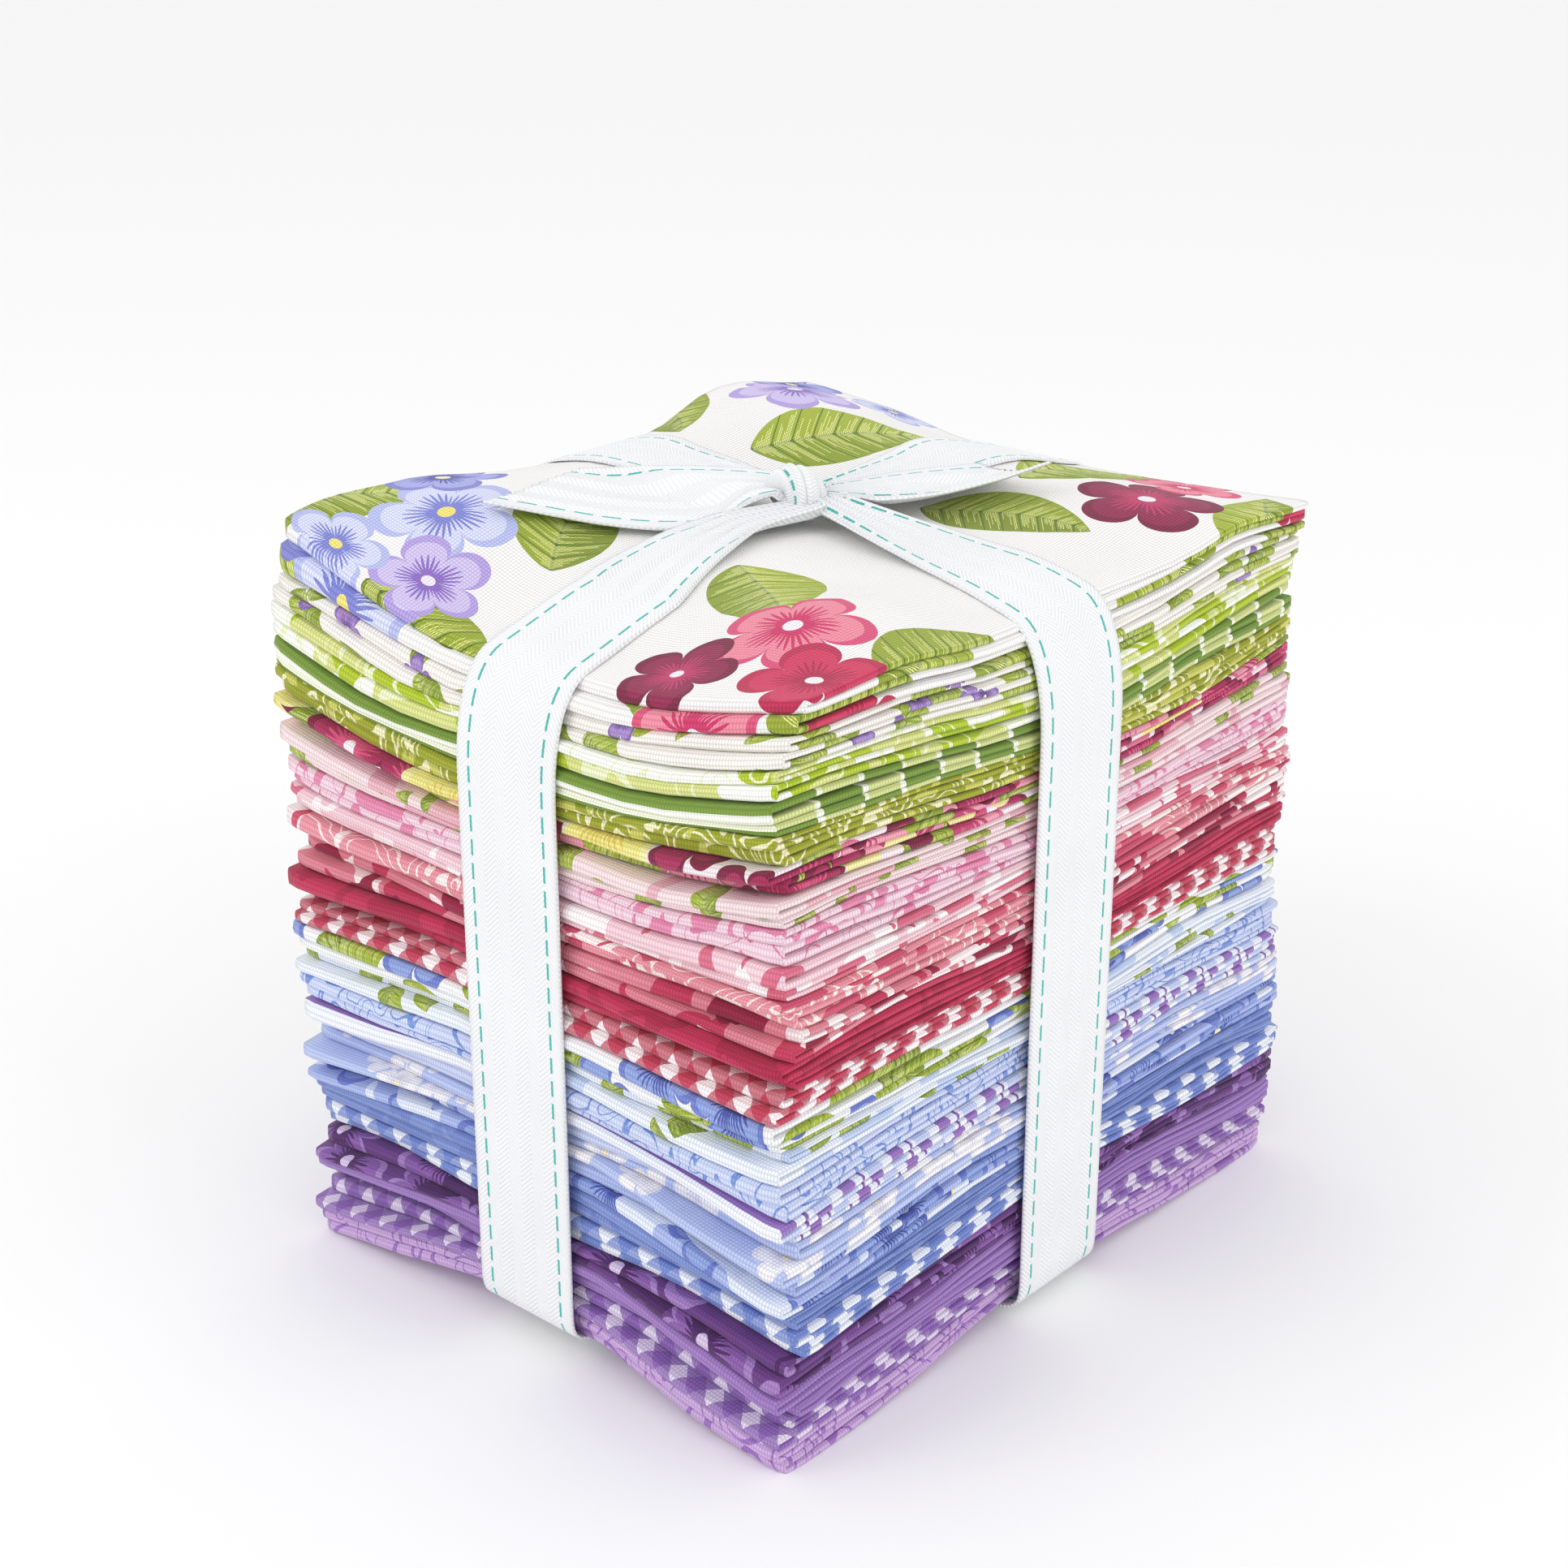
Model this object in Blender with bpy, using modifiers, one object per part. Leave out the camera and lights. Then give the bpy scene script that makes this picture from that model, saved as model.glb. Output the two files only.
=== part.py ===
"""A bundle of twenty-five folded fat quarters, tied crosswise with one ribbon.

A fat quarter is a piece of quilting cotton cut 18 by 22 inches. Each is folded in four
along X and then back and forth in four panels along Y, so a panel is four plies thick.
Every folded quarter is one solid: the loft of its back-and-forth section. The ribbon,
with its knot and two free ends, is one more solid.

X runs along the folded quarters' short side, Y along the long side, Z up.
The origin is on the floor, under the middle of the bundle.
"""

import math

import bmesh
import bpy
from mathutils import Euler, Vector

MM = 0.001
INCH = 25.4 * MM

# The cut cloth and its folds
CUT_WIDTH = 18 * INCH
CUT_LENGTH = 22 * INCH
PLIES = 4
PANELS = 4
HALF_X = CUT_WIDTH / PLIES / 2
HALF_Y = CUT_LENGTH / PANELS / 2

# The stack: its flat height, and the air between panels and between quarters
STACK_HEIGHT = 131 * MM
PANEL_GAP = 0.28 * MM
QUARTER_GAP = 0.42 * MM

# The ribbon, a 7/8 inch twill tape, and how far its middle line stands off the cloth
RIBBON_WIDTH = 22 * MM
RIBBON_THICK = 1.0 * MM
RIBBON_OFF = 0.9 * MM
SIDE_OFF_X = 1.5 * MM
SIDE_OFF_Y = 2.0 * MM
CORNER_RADIUS = 7 * MM

# Each quarter from the top down. The numbers say how far, in mm, its edges stand out
# past the mean outline: the two folds on the south face, the fold on the north face,
# and the sides to the east and west.
QUARTER_COLUMNS = ("south_high", "south_low", "north", "east", "west", "colour")
QUARTERS = (
    (-2.2, -1.0, -1.5, 0.5, 0.5, "E9E4E0"),
    (-0.5, 1.0, -2.0, 0.0, 0.5, "C9D5A5"),
    (1.5, 1.5, -2.0, -0.6, 0.5, "B5CC4E"),
    (2.2, 2.0, -1.5, -1.0, 0.0, "74963F"),
    (2.2, 0.2, -1.0, -1.0, 0.0, "8E9C2B"),
    (2.6, -1.0, -0.8, -1.2, 0.4, "D98C98"),
    (2.2, 1.0, 0.0, -1.0, 0.0, "E8D3D2"),
    (1.0, 0.5, 0.3, -0.8, 0.0, "EDC3D0"),
    (1.5, 0.0, -0.4, -0.4, -0.6, "E8BAC4"),
    (2.0, -1.5, 0.0, 0.2, 0.0, "E39AA3"),
    (-2.0, 0.0, -0.8, 0.6, 0.0, "B2405F"),
    (2.5, -1.5, -0.4, -0.2, 0.0, "B3123C"),
    (0.5, 2.5, -0.5, -0.8, 0.0, "DA7F8E"),
    (2.4, 1.2, 0.0, -1.2, 0.0, "D8E0E8"),
    (-0.5, 2.4, -0.6, -0.6, 0.4, "D3DDF0"),
    (1.5, 1.4, 0.6, -0.6, -0.5, "B8CBEB"),
    (1.5, -1.0, 1.0, 0.0, -0.8, "D2D5EC"),
    (-2.0, 2.2, 1.2, 0.4, -0.4, "C3D0EE"),
    (-1.5, 2.0, 1.5, 0.2, 0.3, "8C9FD0"),
    (0.5, -0.8, 1.8, -0.2, -0.6, "7D8EC8"),
    (-0.5, -2.0, 2.4, 0.6, -1.0, "9AA9DC"),
    (0.0, 2.2, 2.6, -0.3, -1.2, "6E3B80"),
    (2.2, -1.8, 2.0, 0.0, -0.4, "9C73B4"),
    (-1.5, 2.4, 1.5, -0.4, -0.6, "A37FBF"),
    (1.2, 0.5, 1.0, -0.4, -1.2, "C9A6D8"),
)

# Heights of the top and the underside over the flat stack, in mm, at stations across it.
# The ribbon presses the middle lanes down at the top and up at the bottom, and the four
# quadrants between them stand up like pillows.
LANE = 12.5 * MM
MID_X = 38 * MM
RUN_END_Y = 62 * MM
MID_Y = LANE + (MID_X - LANE) * (RUN_END_Y - LANE) / (HALF_X - LANE)
HEIGHT_COLUMNS = ("west", "west_mid", "lane", "east_mid", "east")
TOP_HEIGHTS = {
    "north": (3.0, 2.0, -1.5, -1.0, -0.5),
    "north_mid": (6.5, 8.0, 3.0, 2.5, 0.5),
    "lane": (1.5, 4.5, -2.0, -1.0, -5.5),
    "south_mid": (4.6, 4.4, -2.5, 2.5, -0.5),
    "south": (1.0, -1.5, -8.0, -3.0, -0.5),
}
BOTTOM_HEIGHTS = {
    "north": (0.0, 0.0, 3.0, 0.0, 0.0),
    "north_mid": (0.0, 0.0, 1.5, 0.0, 0.0),
    "lane": (3.0, 1.5, 1.5, 1.5, 3.0),
    "south_mid": (0.0, 0.0, 1.5, 0.0, 0.0),
    "south": (0.0, 0.0, 4.0, 0.0, 0.0),
}
STILL_HEIGHT = 71 * MM
TOP_PILLOW_QUARTERS = 3
BOTTOM_PILLOW_QUARTERS = 2

# The topmost cloth is loose at its south-west corner and stands up there
CORNER_LIFT = 3.4 * MM

# What the ribbon does to the edges beneath it: they stand out less there, and the
# quarters near the top and the bottom are drawn in, which rounds the edge it turns over.
LANE_RAGGED = 0.3
LANE_PULL = 4.0 * MM
PULL_REACH = 16 * MM


def clamp(value):
    """Keep a share between 0 and 1."""
    return min(1.0, max(0.0, value))


def blend(low, high, share):
    """The value a share of the way from low to high."""
    return low + (high - low) * share


def read_columns(row, columns):
    """One table row as a dictionary keyed by its column names."""
    return dict(zip(columns, row))


# The stack's levels
QUARTER_PITCH = (STACK_HEIGHT + QUARTER_GAP) / len(QUARTERS)
PANEL_THICK = (QUARTER_PITCH - QUARTER_GAP - (PANELS - 1) * PANEL_GAP) / PANELS
TOP_PILLOW = TOP_PILLOW_QUARTERS * QUARTER_PITCH
BOTTOM_PILLOW = BOTTOM_PILLOW_QUARTERS * QUARTER_PITCH


def span(distance, stations):
    """The two stations a distance from the middle lies between, and its share of the way."""
    number = 0
    while number < len(stations) - 2 and distance > stations[number + 1]:
        number += 1
    near, far = stations[number], stations[number + 1]
    return number, max(0.0, (distance - near) / (far - near))


def read_heights(table, x, y, with_mid):
    """A table's height at a place, in metres, with or without its mid stations.

    Four stations frame each patch, and the patch is creased along the diagonal that
    starts nearest the middle of the stack, as its triangles are.
    """
    names_x = ["lane", "west_mid" if x < 0 else "east_mid", "west" if x < 0 else "east"]
    names_y = ["lane", "south_mid" if y < 0 else "north_mid", "south" if y < 0 else "north"]
    places_x, places_y = [LANE, MID_X, HALF_X], [LANE, MID_Y, RUN_END_Y]
    if not with_mid:
        for stations in (names_x, names_y, places_x, places_y):
            stations.pop(1)
    i, share_x = span(abs(x), places_x)
    j, share_y = span(abs(y), places_y)

    def at(step_x, step_y):
        return read_columns(table[names_y[j + step_y]], HEIGHT_COLUMNS)[names_x[i + step_x]]

    near, far = at(0, 0), at(1, 1)
    if share_x >= share_y:
        height = near + (at(1, 0) - near) * share_x + (far - at(1, 0)) * share_y
    else:
        height = near + (at(0, 1) - near) * share_y + (far - at(0, 1)) * share_x
    return height * MM


def settle(x, y, level):
    """Where a point of the flat stack at this level comes to lie in the tied bundle."""
    top_share = clamp((level - STILL_HEIGHT) / (STACK_HEIGHT - STILL_HEIGHT))
    bottom_share = clamp((STILL_HEIGHT - level) / STILL_HEIGHT)
    top_pillow = clamp((level - STACK_HEIGHT + TOP_PILLOW) / TOP_PILLOW)
    bottom_pillow = clamp((BOTTOM_PILLOW - level) / BOTTOM_PILLOW)
    rise = 0.0
    for table, share, pillow in (
        (TOP_HEIGHTS, top_share, top_pillow),
        (BOTTOM_HEIGHTS, bottom_share, bottom_pillow),
    ):
        coarse = read_heights(table, x, y, False)
        fine = read_heights(table, x, y, True)
        rise += share * coarse + pillow * (fine - coarse)
    loose = clamp((level - STACK_HEIGHT + QUARTER_PITCH) / QUARTER_PITCH)
    to_corner = clamp((-x - MID_X) / (HALF_X - MID_X)) * clamp((-y - MID_Y) / (RUN_END_Y - MID_Y))
    return Vector((x, y, level + rise + CORNER_LIFT * loose * to_corner))


def edge_place(half, stands_out, across, level):
    """How far out an edge lies at a place along it, drawn in where the ribbon crosses."""
    in_lane = clamp((abs(across) - LANE) / (MID_X - LANE))
    near_end = clamp(1 - min(level, STACK_HEIGHT - level) / PULL_REACH)
    pull = LANE_PULL * near_end * near_end * (1 - in_lane)
    return half + stands_out * blend(LANE_RAGGED, 1.0, in_lane) - pull


def new_material(name, colour, roughness):
    """A plain Principled material of one sRGB hex colour."""
    channels = [int(colour[i : i + 2], 16) / 255 for i in (0, 2, 4)]
    linear = [c / 12.92 if c <= 0.04045 else ((c + 0.055) / 1.055) ** 2.4 for c in channels]
    material = bpy.data.materials.new(name)
    material.use_nodes = True
    shader = material.node_tree.nodes["Principled BSDF"]
    shader.inputs["Base Color"].default_value = (*linear, 1.0)
    shader.inputs["Roughness"].default_value = roughness
    shader.inputs["Metallic"].default_value = 0.0
    return material


def new_object(name, mesh_source, material, collection):
    """Make an object of a bmesh, give it its material and put it in a collection."""
    mesh = bpy.data.meshes.new(name)
    mesh_source.to_mesh(mesh)
    mesh_source.free()
    mesh.materials.append(material)
    made = bpy.data.objects.new(name, mesh)
    collection.objects.link(made)
    return made


# Folded quarters
FOLD_SHOULDER = 0.9 * MM
CROTCH_DEPTH = 1.3 * MM
FREE_END_BACK = 0.8 * MM

# The three folds: the table's column, the panel below the fold, and its side along Y
FOLDS = (("south_low", 0, -1), ("north", 1, 1), ("south_high", 2, -1))

# The stretches in order round the section, and whether each is followed forwards: out
# along the outer faces from panel to panel, and back along the inner ones
OUTLINE = (
    (("under", 0), False),
    (("fold", 0), True),
    (("over", 1), True),
    (("crotch", 1), True),
    (("under", 2), False),
    (("fold", 2), True),
    (("over", 3), True),
    (("end", 3), False),
    (("under", 3), False),
    (("crotch", 2), True),
    (("over", 2), True),
    (("fold", 1), False),
    (("under", 1), False),
    (("crotch", 0), True),
    (("over", 0), True),
    (("end", 0), False),
)


def fold_points(tip, side, low, high):
    """The rounded outside of a fold at a tip, from its lower face to its upper one."""
    shoulder = tip - side * FOLD_SHOULDER
    ease = 0.12 * (high - low)
    return [(shoulder, low + ease), (tip, (low + high) / 2), (shoulder, high - ease)]


def quarter_section(row, bottom, stations, x):
    """The points (y, level) of one folded quarter's section, by the stretch they belong to.

    A panel's under and over stretches run from south to north.
    """
    under = [bottom + i * (PANEL_THICK + PANEL_GAP) for i in range(PANELS)]
    over = [level + PANEL_THICK for level in under]

    def tip(side, column, level):
        return side * edge_place(HALF_Y, row[column] * MM, x, level)

    section = {}
    for panel in range(PANELS):
        section["under", panel] = [(y, under[panel]) for y in stations]
        section["over", panel] = [(y, over[panel]) for y in stations]
    for column, lower, side in FOLDS:
        fold_tip = tip(side, column, over[lower])
        middle = (over[lower] + under[lower + 1]) / 2
        section["fold", lower] = fold_points(fold_tip, side, under[lower], over[lower + 1])
        section["crotch", lower] = [(fold_tip - side * CROTCH_DEPTH, middle)]
    for panel in (0, PANELS - 1):
        end = tip(1, "north", over[panel]) - FREE_END_BACK
        section["end", panel] = [(end, under[panel]), (end, over[panel])]
    return section


def outline(section):
    """The section's points in order round its closed outline."""
    ring = []
    for stretch, forwards in OUTLINE:
        ring += section[stretch] if forwards else section[stretch][::-1]
    return ring


def cap_faces(section):
    """The flat pieces that fill the section: its panels, its folds and its free ends."""
    faces = []
    for panel in range(PANELS):
        under, over = section["under", panel], section["over", panel]
        for i in range(len(under) - 1):
            faces.append([under[i], under[i + 1], over[i + 1], over[i]])
    for _, lower, side in FOLDS:
        at = 0 if side < 0 else -1
        low_under, low_over = section["under", lower][at], section["over", lower][at]
        high_under, high_over = section["under", lower + 1][at], section["over", lower + 1][at]
        first, tip, last = section["fold", lower]
        (crotch,) = section["crotch", lower]
        faces += [[low_under, first, crotch, low_over], [first, tip, crotch]]
        faces += [[tip, last, crotch], [last, high_over, high_under, crotch]]
    for panel in (0, PANELS - 1):
        under_end, over_end = section["end", panel]
        faces.append([section["under", panel][-1], under_end, over_end])
        faces.append([section["under", panel][-1], over_end, section["over", panel][-1]])
    return faces


def add_split_quad(cage, corners):
    """A quad as two triangles that share its corner nearest the middle of the stack.

    Neighbours split the same way stay parallel where a patch of cloth is twisted.
    """
    nearest = min(range(4), key=lambda i: round(corners[i].co.xy.length, 4))
    a, b, c, d = corners[nearest:] + corners[:nearest]
    cage.faces.new((a, b, c))
    cage.faces.new((a, c, d))


def folded_quarter(name, number_up, row, collection):
    """One folded fat quarter: its section lofted from the west edge to the east edge."""
    from_top = len(QUARTERS) - 1 - number_up
    pillowed = number_up < BOTTOM_PILLOW_QUARTERS or from_top < TOP_PILLOW_QUARTERS
    half_x = (LANE, MID_X, HALF_X) if pillowed else (LANE, HALF_X)
    half_y = (LANE, MID_Y, RUN_END_Y) if pillowed else (LANE, RUN_END_Y)
    stations_x = [-x for x in half_x[::-1]] + list(half_x)
    stations_y = [-y for y in half_y[::-1]] + list(half_y)

    cage = bmesh.new()
    sections = []
    for x in stations_x:
        section = quarter_section(row, number_up * QUARTER_PITCH, stations_y, x)
        for stretch, points in section.items():
            made = []
            for y, level in points:
                place_x = x
                if x == stations_x[0]:
                    place_x = -edge_place(HALF_X, row["west"] * MM, y, level)
                if x == stations_x[-1]:
                    place_x = edge_place(HALF_X, row["east"] * MM, y, level)
                made.append(cage.verts.new(settle(place_x, y, level)))
            section[stretch] = made
        sections.append(section)
    rings = [outline(section) for section in sections]
    for ring, following in zip(rings, rings[1:]):
        for i in range(len(ring)):
            j = (i + 1) % len(ring)
            add_split_quad(cage, [ring[i], following[i], following[j], ring[j]])
    for face in cap_faces(sections[0]) + cap_faces(sections[-1]):
        cage.faces.new(face)
    bmesh.ops.triangulate(cage, faces=cage.faces[:])
    bmesh.ops.recalc_face_normals(cage, faces=cage.faces[:])
    cloth = new_material(name, row["colour"], 0.85)
    return new_object(name, cage, cloth, collection)


# Ribbon bands
CORNER_STEPS = 4
BAND_STEPS = 4
UNDER_STEP = 0.15 * MM
KNOT_HEIGHT = 135.8 * MM

# Where the bands end inside the knot: off its middle, and one under the other
BAND_END = 2.0 * MM
IN_KNOT_Y = KNOT_HEIGHT - 0.7 * MM
IN_KNOT_X = KNOT_HEIGHT - 2.1 * MM

# How wide a band is at a distance from the knot, in mm
BAND_WIDTHS = ((0, 5.0), (6, 9.0), (16, 16.0), (28, 21.0), (40, 22.0))


def band_width(distance):
    """A band is gathered into the knot and opens to the ribbon's width away from it."""
    for (near, narrow), (far, wide) in zip(BAND_WIDTHS, BAND_WIDTHS[1:]):
        if distance <= far * MM:
            return blend(narrow, wide, (distance / MM - near) / (far - near)) * MM
    return RIBBON_WIDTH


def rounded(points, radius):
    """A path through 2D points, with an arc in the place of each right-angled corner."""
    path = [points[0]]
    for before, corner, after in zip(points, points[1:], points[2:]):
        back = (before - corner).normalized()
        ahead = (after - corner).normalized()
        turn = math.acos(max(-1.0, min(1.0, -back.dot(ahead))))
        if turn < math.radians(40):
            path.append(corner)
            continue
        reach = radius * math.tan(turn / 2)
        centre = corner + (back + ahead).normalized() * (radius / math.cos(turn / 2))
        start = (corner + back * reach - centre).normalized()
        end = (corner + ahead * reach - centre).normalized()
        for step in range(CORNER_STEPS + 1):
            path.append(centre + start.slerp(end, step / CORNER_STEPS) * radius)
    path.append(points[-1])
    return path


def band_path(table_reader, mid_at, half, side_off, under, in_knot):
    """The middle line of a band round the stack, as (along, z), from knot to knot."""
    side = half + side_off
    points = [Vector((-BAND_END, in_knot))]
    for sign in (-1, 1):
        lane_mid, lane_edge = table_reader(sign)
        shoulder = Vector((sign * mid_at, STACK_HEIGHT + lane_mid * MM + RIBBON_OFF))
        brow = Vector((sign * side, STACK_HEIGHT + lane_edge * MM + RIBBON_OFF))
        foot = Vector((sign * side, under))
        points += [shoulder, brow, foot] if sign < 0 else [foot, brow, shoulder]
    points.append(Vector((BAND_END, in_knot)))
    return rounded(points, CORNER_RADIUS)


def sweep_band(name, path, to_space, material, collection):
    """A ribbon strip along a path: a grid whose points are moved, made thick."""
    lengths = [0.0]
    for a, b in zip(path, path[1:]):
        lengths.append(lengths[-1] + (b - a).length)
    strip = bmesh.new()
    rows = []
    for place, done in zip(path, lengths):
        width = band_width(min(done, lengths[-1] - done))
        row = []
        for step in range(BAND_STEPS + 1):
            across = (step / BAND_STEPS - 0.5) * width
            row.append(strip.verts.new(to_space(place, across)))
        rows.append(row)
    for row, following in zip(rows, rows[1:]):
        for i in range(BAND_STEPS):
            strip.faces.new((row[i], row[i + 1], following[i + 1], following[i]))
    band = new_object(name, strip, material, collection)
    thicken = band.modifiers.new("thickness", "SOLIDIFY")
    thicken.thickness = RIBBON_THICK
    thicken.offset = 0.0
    thicken.use_even_offset = True
    return band


def ribbon_bands(material, collection):
    """The two bands that cross under the bundle and meet at the knot."""

    def south_north(sign):
        mid = TOP_HEIGHTS["south_mid" if sign < 0 else "north_mid"]
        edge = TOP_HEIGHTS["south" if sign < 0 else "north"]
        lane = HEIGHT_COLUMNS.index("lane")
        return mid[lane], edge[lane]

    def west_east(sign):
        row = read_columns(TOP_HEIGHTS["lane"], HEIGHT_COLUMNS)
        return (row["west_mid"], row["west"]) if sign < 0 else (row["east_mid"], row["east"])

    half_thick = RIBBON_THICK / 2
    path_y = band_path(south_north, MID_Y, HALF_Y, SIDE_OFF_Y, half_thick, IN_KNOT_Y)
    path_x = band_path(
        west_east, MID_X, HALF_X, SIDE_OFF_X, half_thick + UNDER_STEP, IN_KNOT_X
    )
    along_y = sweep_band(
        "ribbon", path_y, lambda p, across: Vector((across, p[0], p[1])), material, collection
    )
    along_x = sweep_band(
        "band_along_x", path_x, lambda p, across: Vector((p[0], across, p[1])), material,
        collection,
    )
    return along_y, along_x


# Knot and free ends
KNOT_SIZE = (5.6 * MM, 6.0 * MM, 4.8 * MM)
KNOT_TURN = math.radians(40)
TAIL_COLUMNS = ("distance", "x", "y", "height", "width", "roll")

# Each free end along its middle line: distance from the knot, place and height over the
# flat stack in mm, width in mm, and how far its edge tips up, in degrees.
WEST_TAIL = (
    (0, -1.5, 0.5, 4.4, 6.0, 10.0),
    (9, -9.3, -3.6, 2.8, 15.0, 12.0),
    (19, -16.5, -10.5, 1.7, 20.5, 8.0),
    (31, -25.0, -18.8, 2.4, 22.0, 6.0),
    (47, -36.5, -30.0, 4.8, 22.0, 1.0),
)
EAST_TAIL = (
    (0, 1.5, 1.5, 4.4, 6.0, 0.0),
    (9, 5.5, 9.5, 3.2, 11.0, 4.0),
    (19, 10.2, 18.5, 3.0, 16.0, 7.0),
    (31, 15.8, 29.0, 4.0, 18.0, 9.0),
    (44, 22.0, 39.0, 6.2, 17.0, 8.0),
)
WEST_CUT = -16.0 * MM
EAST_CUT = -8.0 * MM
TAIL_CLEAR = 1.1 * MM


def tail(name, table, cut, material, collection):
    """A free end of the ribbon: a strip from the knot, cut off at a slant, clear of the cloth."""
    strip = bmesh.new()
    rows = [read_columns(row, TAIL_COLUMNS) for row in table]
    centres = [Vector((r["x"], r["y"], STACK_HEIGHT / MM + r["height"])) * MM for r in rows]
    made = []
    for number, row in enumerate(rows):
        before = centres[max(0, number - 1)]
        after = centres[min(len(rows) - 1, number + 1)]
        heading = (after - before).normalized()
        flat_side = heading.cross(Vector((0, 0, 1))).normalized()
        upright = flat_side.cross(heading)
        roll = math.radians(row["roll"])
        sideways = flat_side * math.cos(roll) + upright * math.sin(roll)
        slant = cut * row["distance"] / rows[-1]["distance"]
        line = []
        for step in range(BAND_STEPS + 1):
            share = step / BAND_STEPS - 0.5
            offset = sideways * share * row["width"] * MM + heading * share * slant
            place = centres[number] + offset
            place.z = max(place.z, settle(place.x, place.y, STACK_HEIGHT).z + TAIL_CLEAR)
            line.append(strip.verts.new(place))
        made.append(line)
    for line, following in zip(made, made[1:]):
        for i in range(BAND_STEPS):
            strip.faces.new((line[i], line[i + 1], following[i + 1], following[i]))
    end = new_object(name, strip, material, collection)
    thicken = end.modifiers.new("thickness", "SOLIDIFY")
    thicken.thickness = RIBBON_THICK
    thicken.offset = 0.0
    return end


def knot(material, collection):
    """The tied lump, a flattened ball turned towards the free ends."""
    ball = bmesh.new()
    bmesh.ops.create_uvsphere(ball, u_segments=12, v_segments=8, radius=1.0)
    for vert in ball.verts:
        pinch = 1.0 - 0.12 * math.cos(4 * math.atan2(vert.co.y, vert.co.x))
        vert.co.x *= KNOT_SIZE[0] * pinch
        vert.co.y *= KNOT_SIZE[1] * pinch
        vert.co.z *= KNOT_SIZE[2]
        vert.co.rotate(Euler((0, 0, KNOT_TURN)))
        vert.co.z += KNOT_HEIGHT
    return new_object("knot", ball, material, collection)


def tied_ribbon(collection, helpers):
    """Join the bands, the knot and the free ends into one solid."""
    material = new_material("ribbon", "F2F5F4", 0.7)
    body, band = ribbon_bands(material, collection)
    collection.objects.unlink(band)
    helpers.objects.link(band)
    pieces = [
        band,
        knot(material, helpers),
        tail("west_tail", WEST_TAIL, WEST_CUT, material, helpers),
        tail("east_tail", EAST_TAIL, EAST_CUT, material, helpers),
    ]
    for piece in pieces:
        piece.hide_render = True
        piece.display_type = "WIRE"
        join = body.modifiers.new("join_" + piece.name, "BOOLEAN")
        join.operation = "UNION"
        join.object = piece
    return body


def main():
    """Build the bundle in an empty scene."""
    for old in list(bpy.data.objects):
        bpy.data.objects.remove(old)
    bundle = bpy.data.collections.new("fat_quarter_bundle")
    helpers = bpy.data.collections.new("joined_pieces")
    for collection in (bundle, helpers):
        bpy.context.scene.collection.children.link(collection)
    for number, row in enumerate(QUARTERS):
        name = f"fat_quarter_{number + 1:02d}"
        number_up = len(QUARTERS) - 1 - number
        folded_quarter(name, number_up, read_columns(row, QUARTER_COLUMNS), bundle)
    tied_ribbon(bundle, helpers)


main()
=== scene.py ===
# %% [markdown]
# # A bundle of fat quarters
# A fat quarter is a piece of quilting cotton cut 18 by 22 inches. Twenty-five of them, each
# in a print of its own, are folded to the same size, stacked by colour and tied crosswise
# with a woven tape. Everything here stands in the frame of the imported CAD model: metres,
# +Z up, the origin on the floor under the middle of the bundle.

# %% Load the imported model
import math

import bmesh
import bpy
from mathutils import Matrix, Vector, noise


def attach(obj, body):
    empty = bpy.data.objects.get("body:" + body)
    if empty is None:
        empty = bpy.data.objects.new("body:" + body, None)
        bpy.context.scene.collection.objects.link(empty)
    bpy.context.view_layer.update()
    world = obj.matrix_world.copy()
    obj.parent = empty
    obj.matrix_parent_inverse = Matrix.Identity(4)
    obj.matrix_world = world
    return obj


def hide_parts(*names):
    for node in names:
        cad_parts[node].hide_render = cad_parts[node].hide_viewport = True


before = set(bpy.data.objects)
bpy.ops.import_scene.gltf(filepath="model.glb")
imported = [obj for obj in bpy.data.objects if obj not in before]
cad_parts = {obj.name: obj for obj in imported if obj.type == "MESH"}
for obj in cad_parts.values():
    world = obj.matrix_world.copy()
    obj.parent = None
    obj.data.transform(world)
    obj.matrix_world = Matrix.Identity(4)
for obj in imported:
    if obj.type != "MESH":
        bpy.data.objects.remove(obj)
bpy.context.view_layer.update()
MM = 0.001
INCH = 25.4 * MM

# %% [markdown]
# ## The camera
# The lens and the place come from fitting a camera to the bundle's own corners: it looks
# down by 22 degrees on the corner between the south and the east face.

# %% Make the camera
PHOTO_SIDE = 1932
FOCAL_PIXELS = 3271
CAMERA_PLACE = Vector((286.207, -331.189, 260.976)) * MM
CAMERA_YAW = math.radians(41.35)
CAMERA_PITCH = math.radians(22.25)

camera = bpy.data.objects.new("camera", bpy.data.cameras.new("camera"))
camera.data.sensor_width = 36
camera.data.lens = camera.data.sensor_width * FOCAL_PIXELS / PHOTO_SIDE
camera.data.clip_start = 0.01
camera.location = CAMERA_PLACE
camera.rotation_euler = (math.pi / 2 - CAMERA_PITCH, 0, CAMERA_YAW)
bpy.context.scene.collection.objects.link(camera)
bpy.context.scene.camera = camera
print("lens", round(camera.data.lens, 2), "mm")

# %% [markdown]
# ## Colours and nodes
# Every colour below is an sRGB hex value, as a paint chart gives it, and one function turns
# it to the linear light that the shader works in. One more function adds a shader node: it
# takes the node's settings by name and its inputs in order, so a pattern reads like a sum.


# %% Helpers for colours and nodes
def colour(code):
    """A hex colour as linear RGBA, by the curve of the sRGB standard."""
    parts = [int(code[i : i + 2], 16) / 255 for i in (0, 2, 4)]
    return [c / 12.92 if c <= 0.04045 else ((c + 0.055) / 1.055) ** 2.4 for c in parts] + [1]


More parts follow.
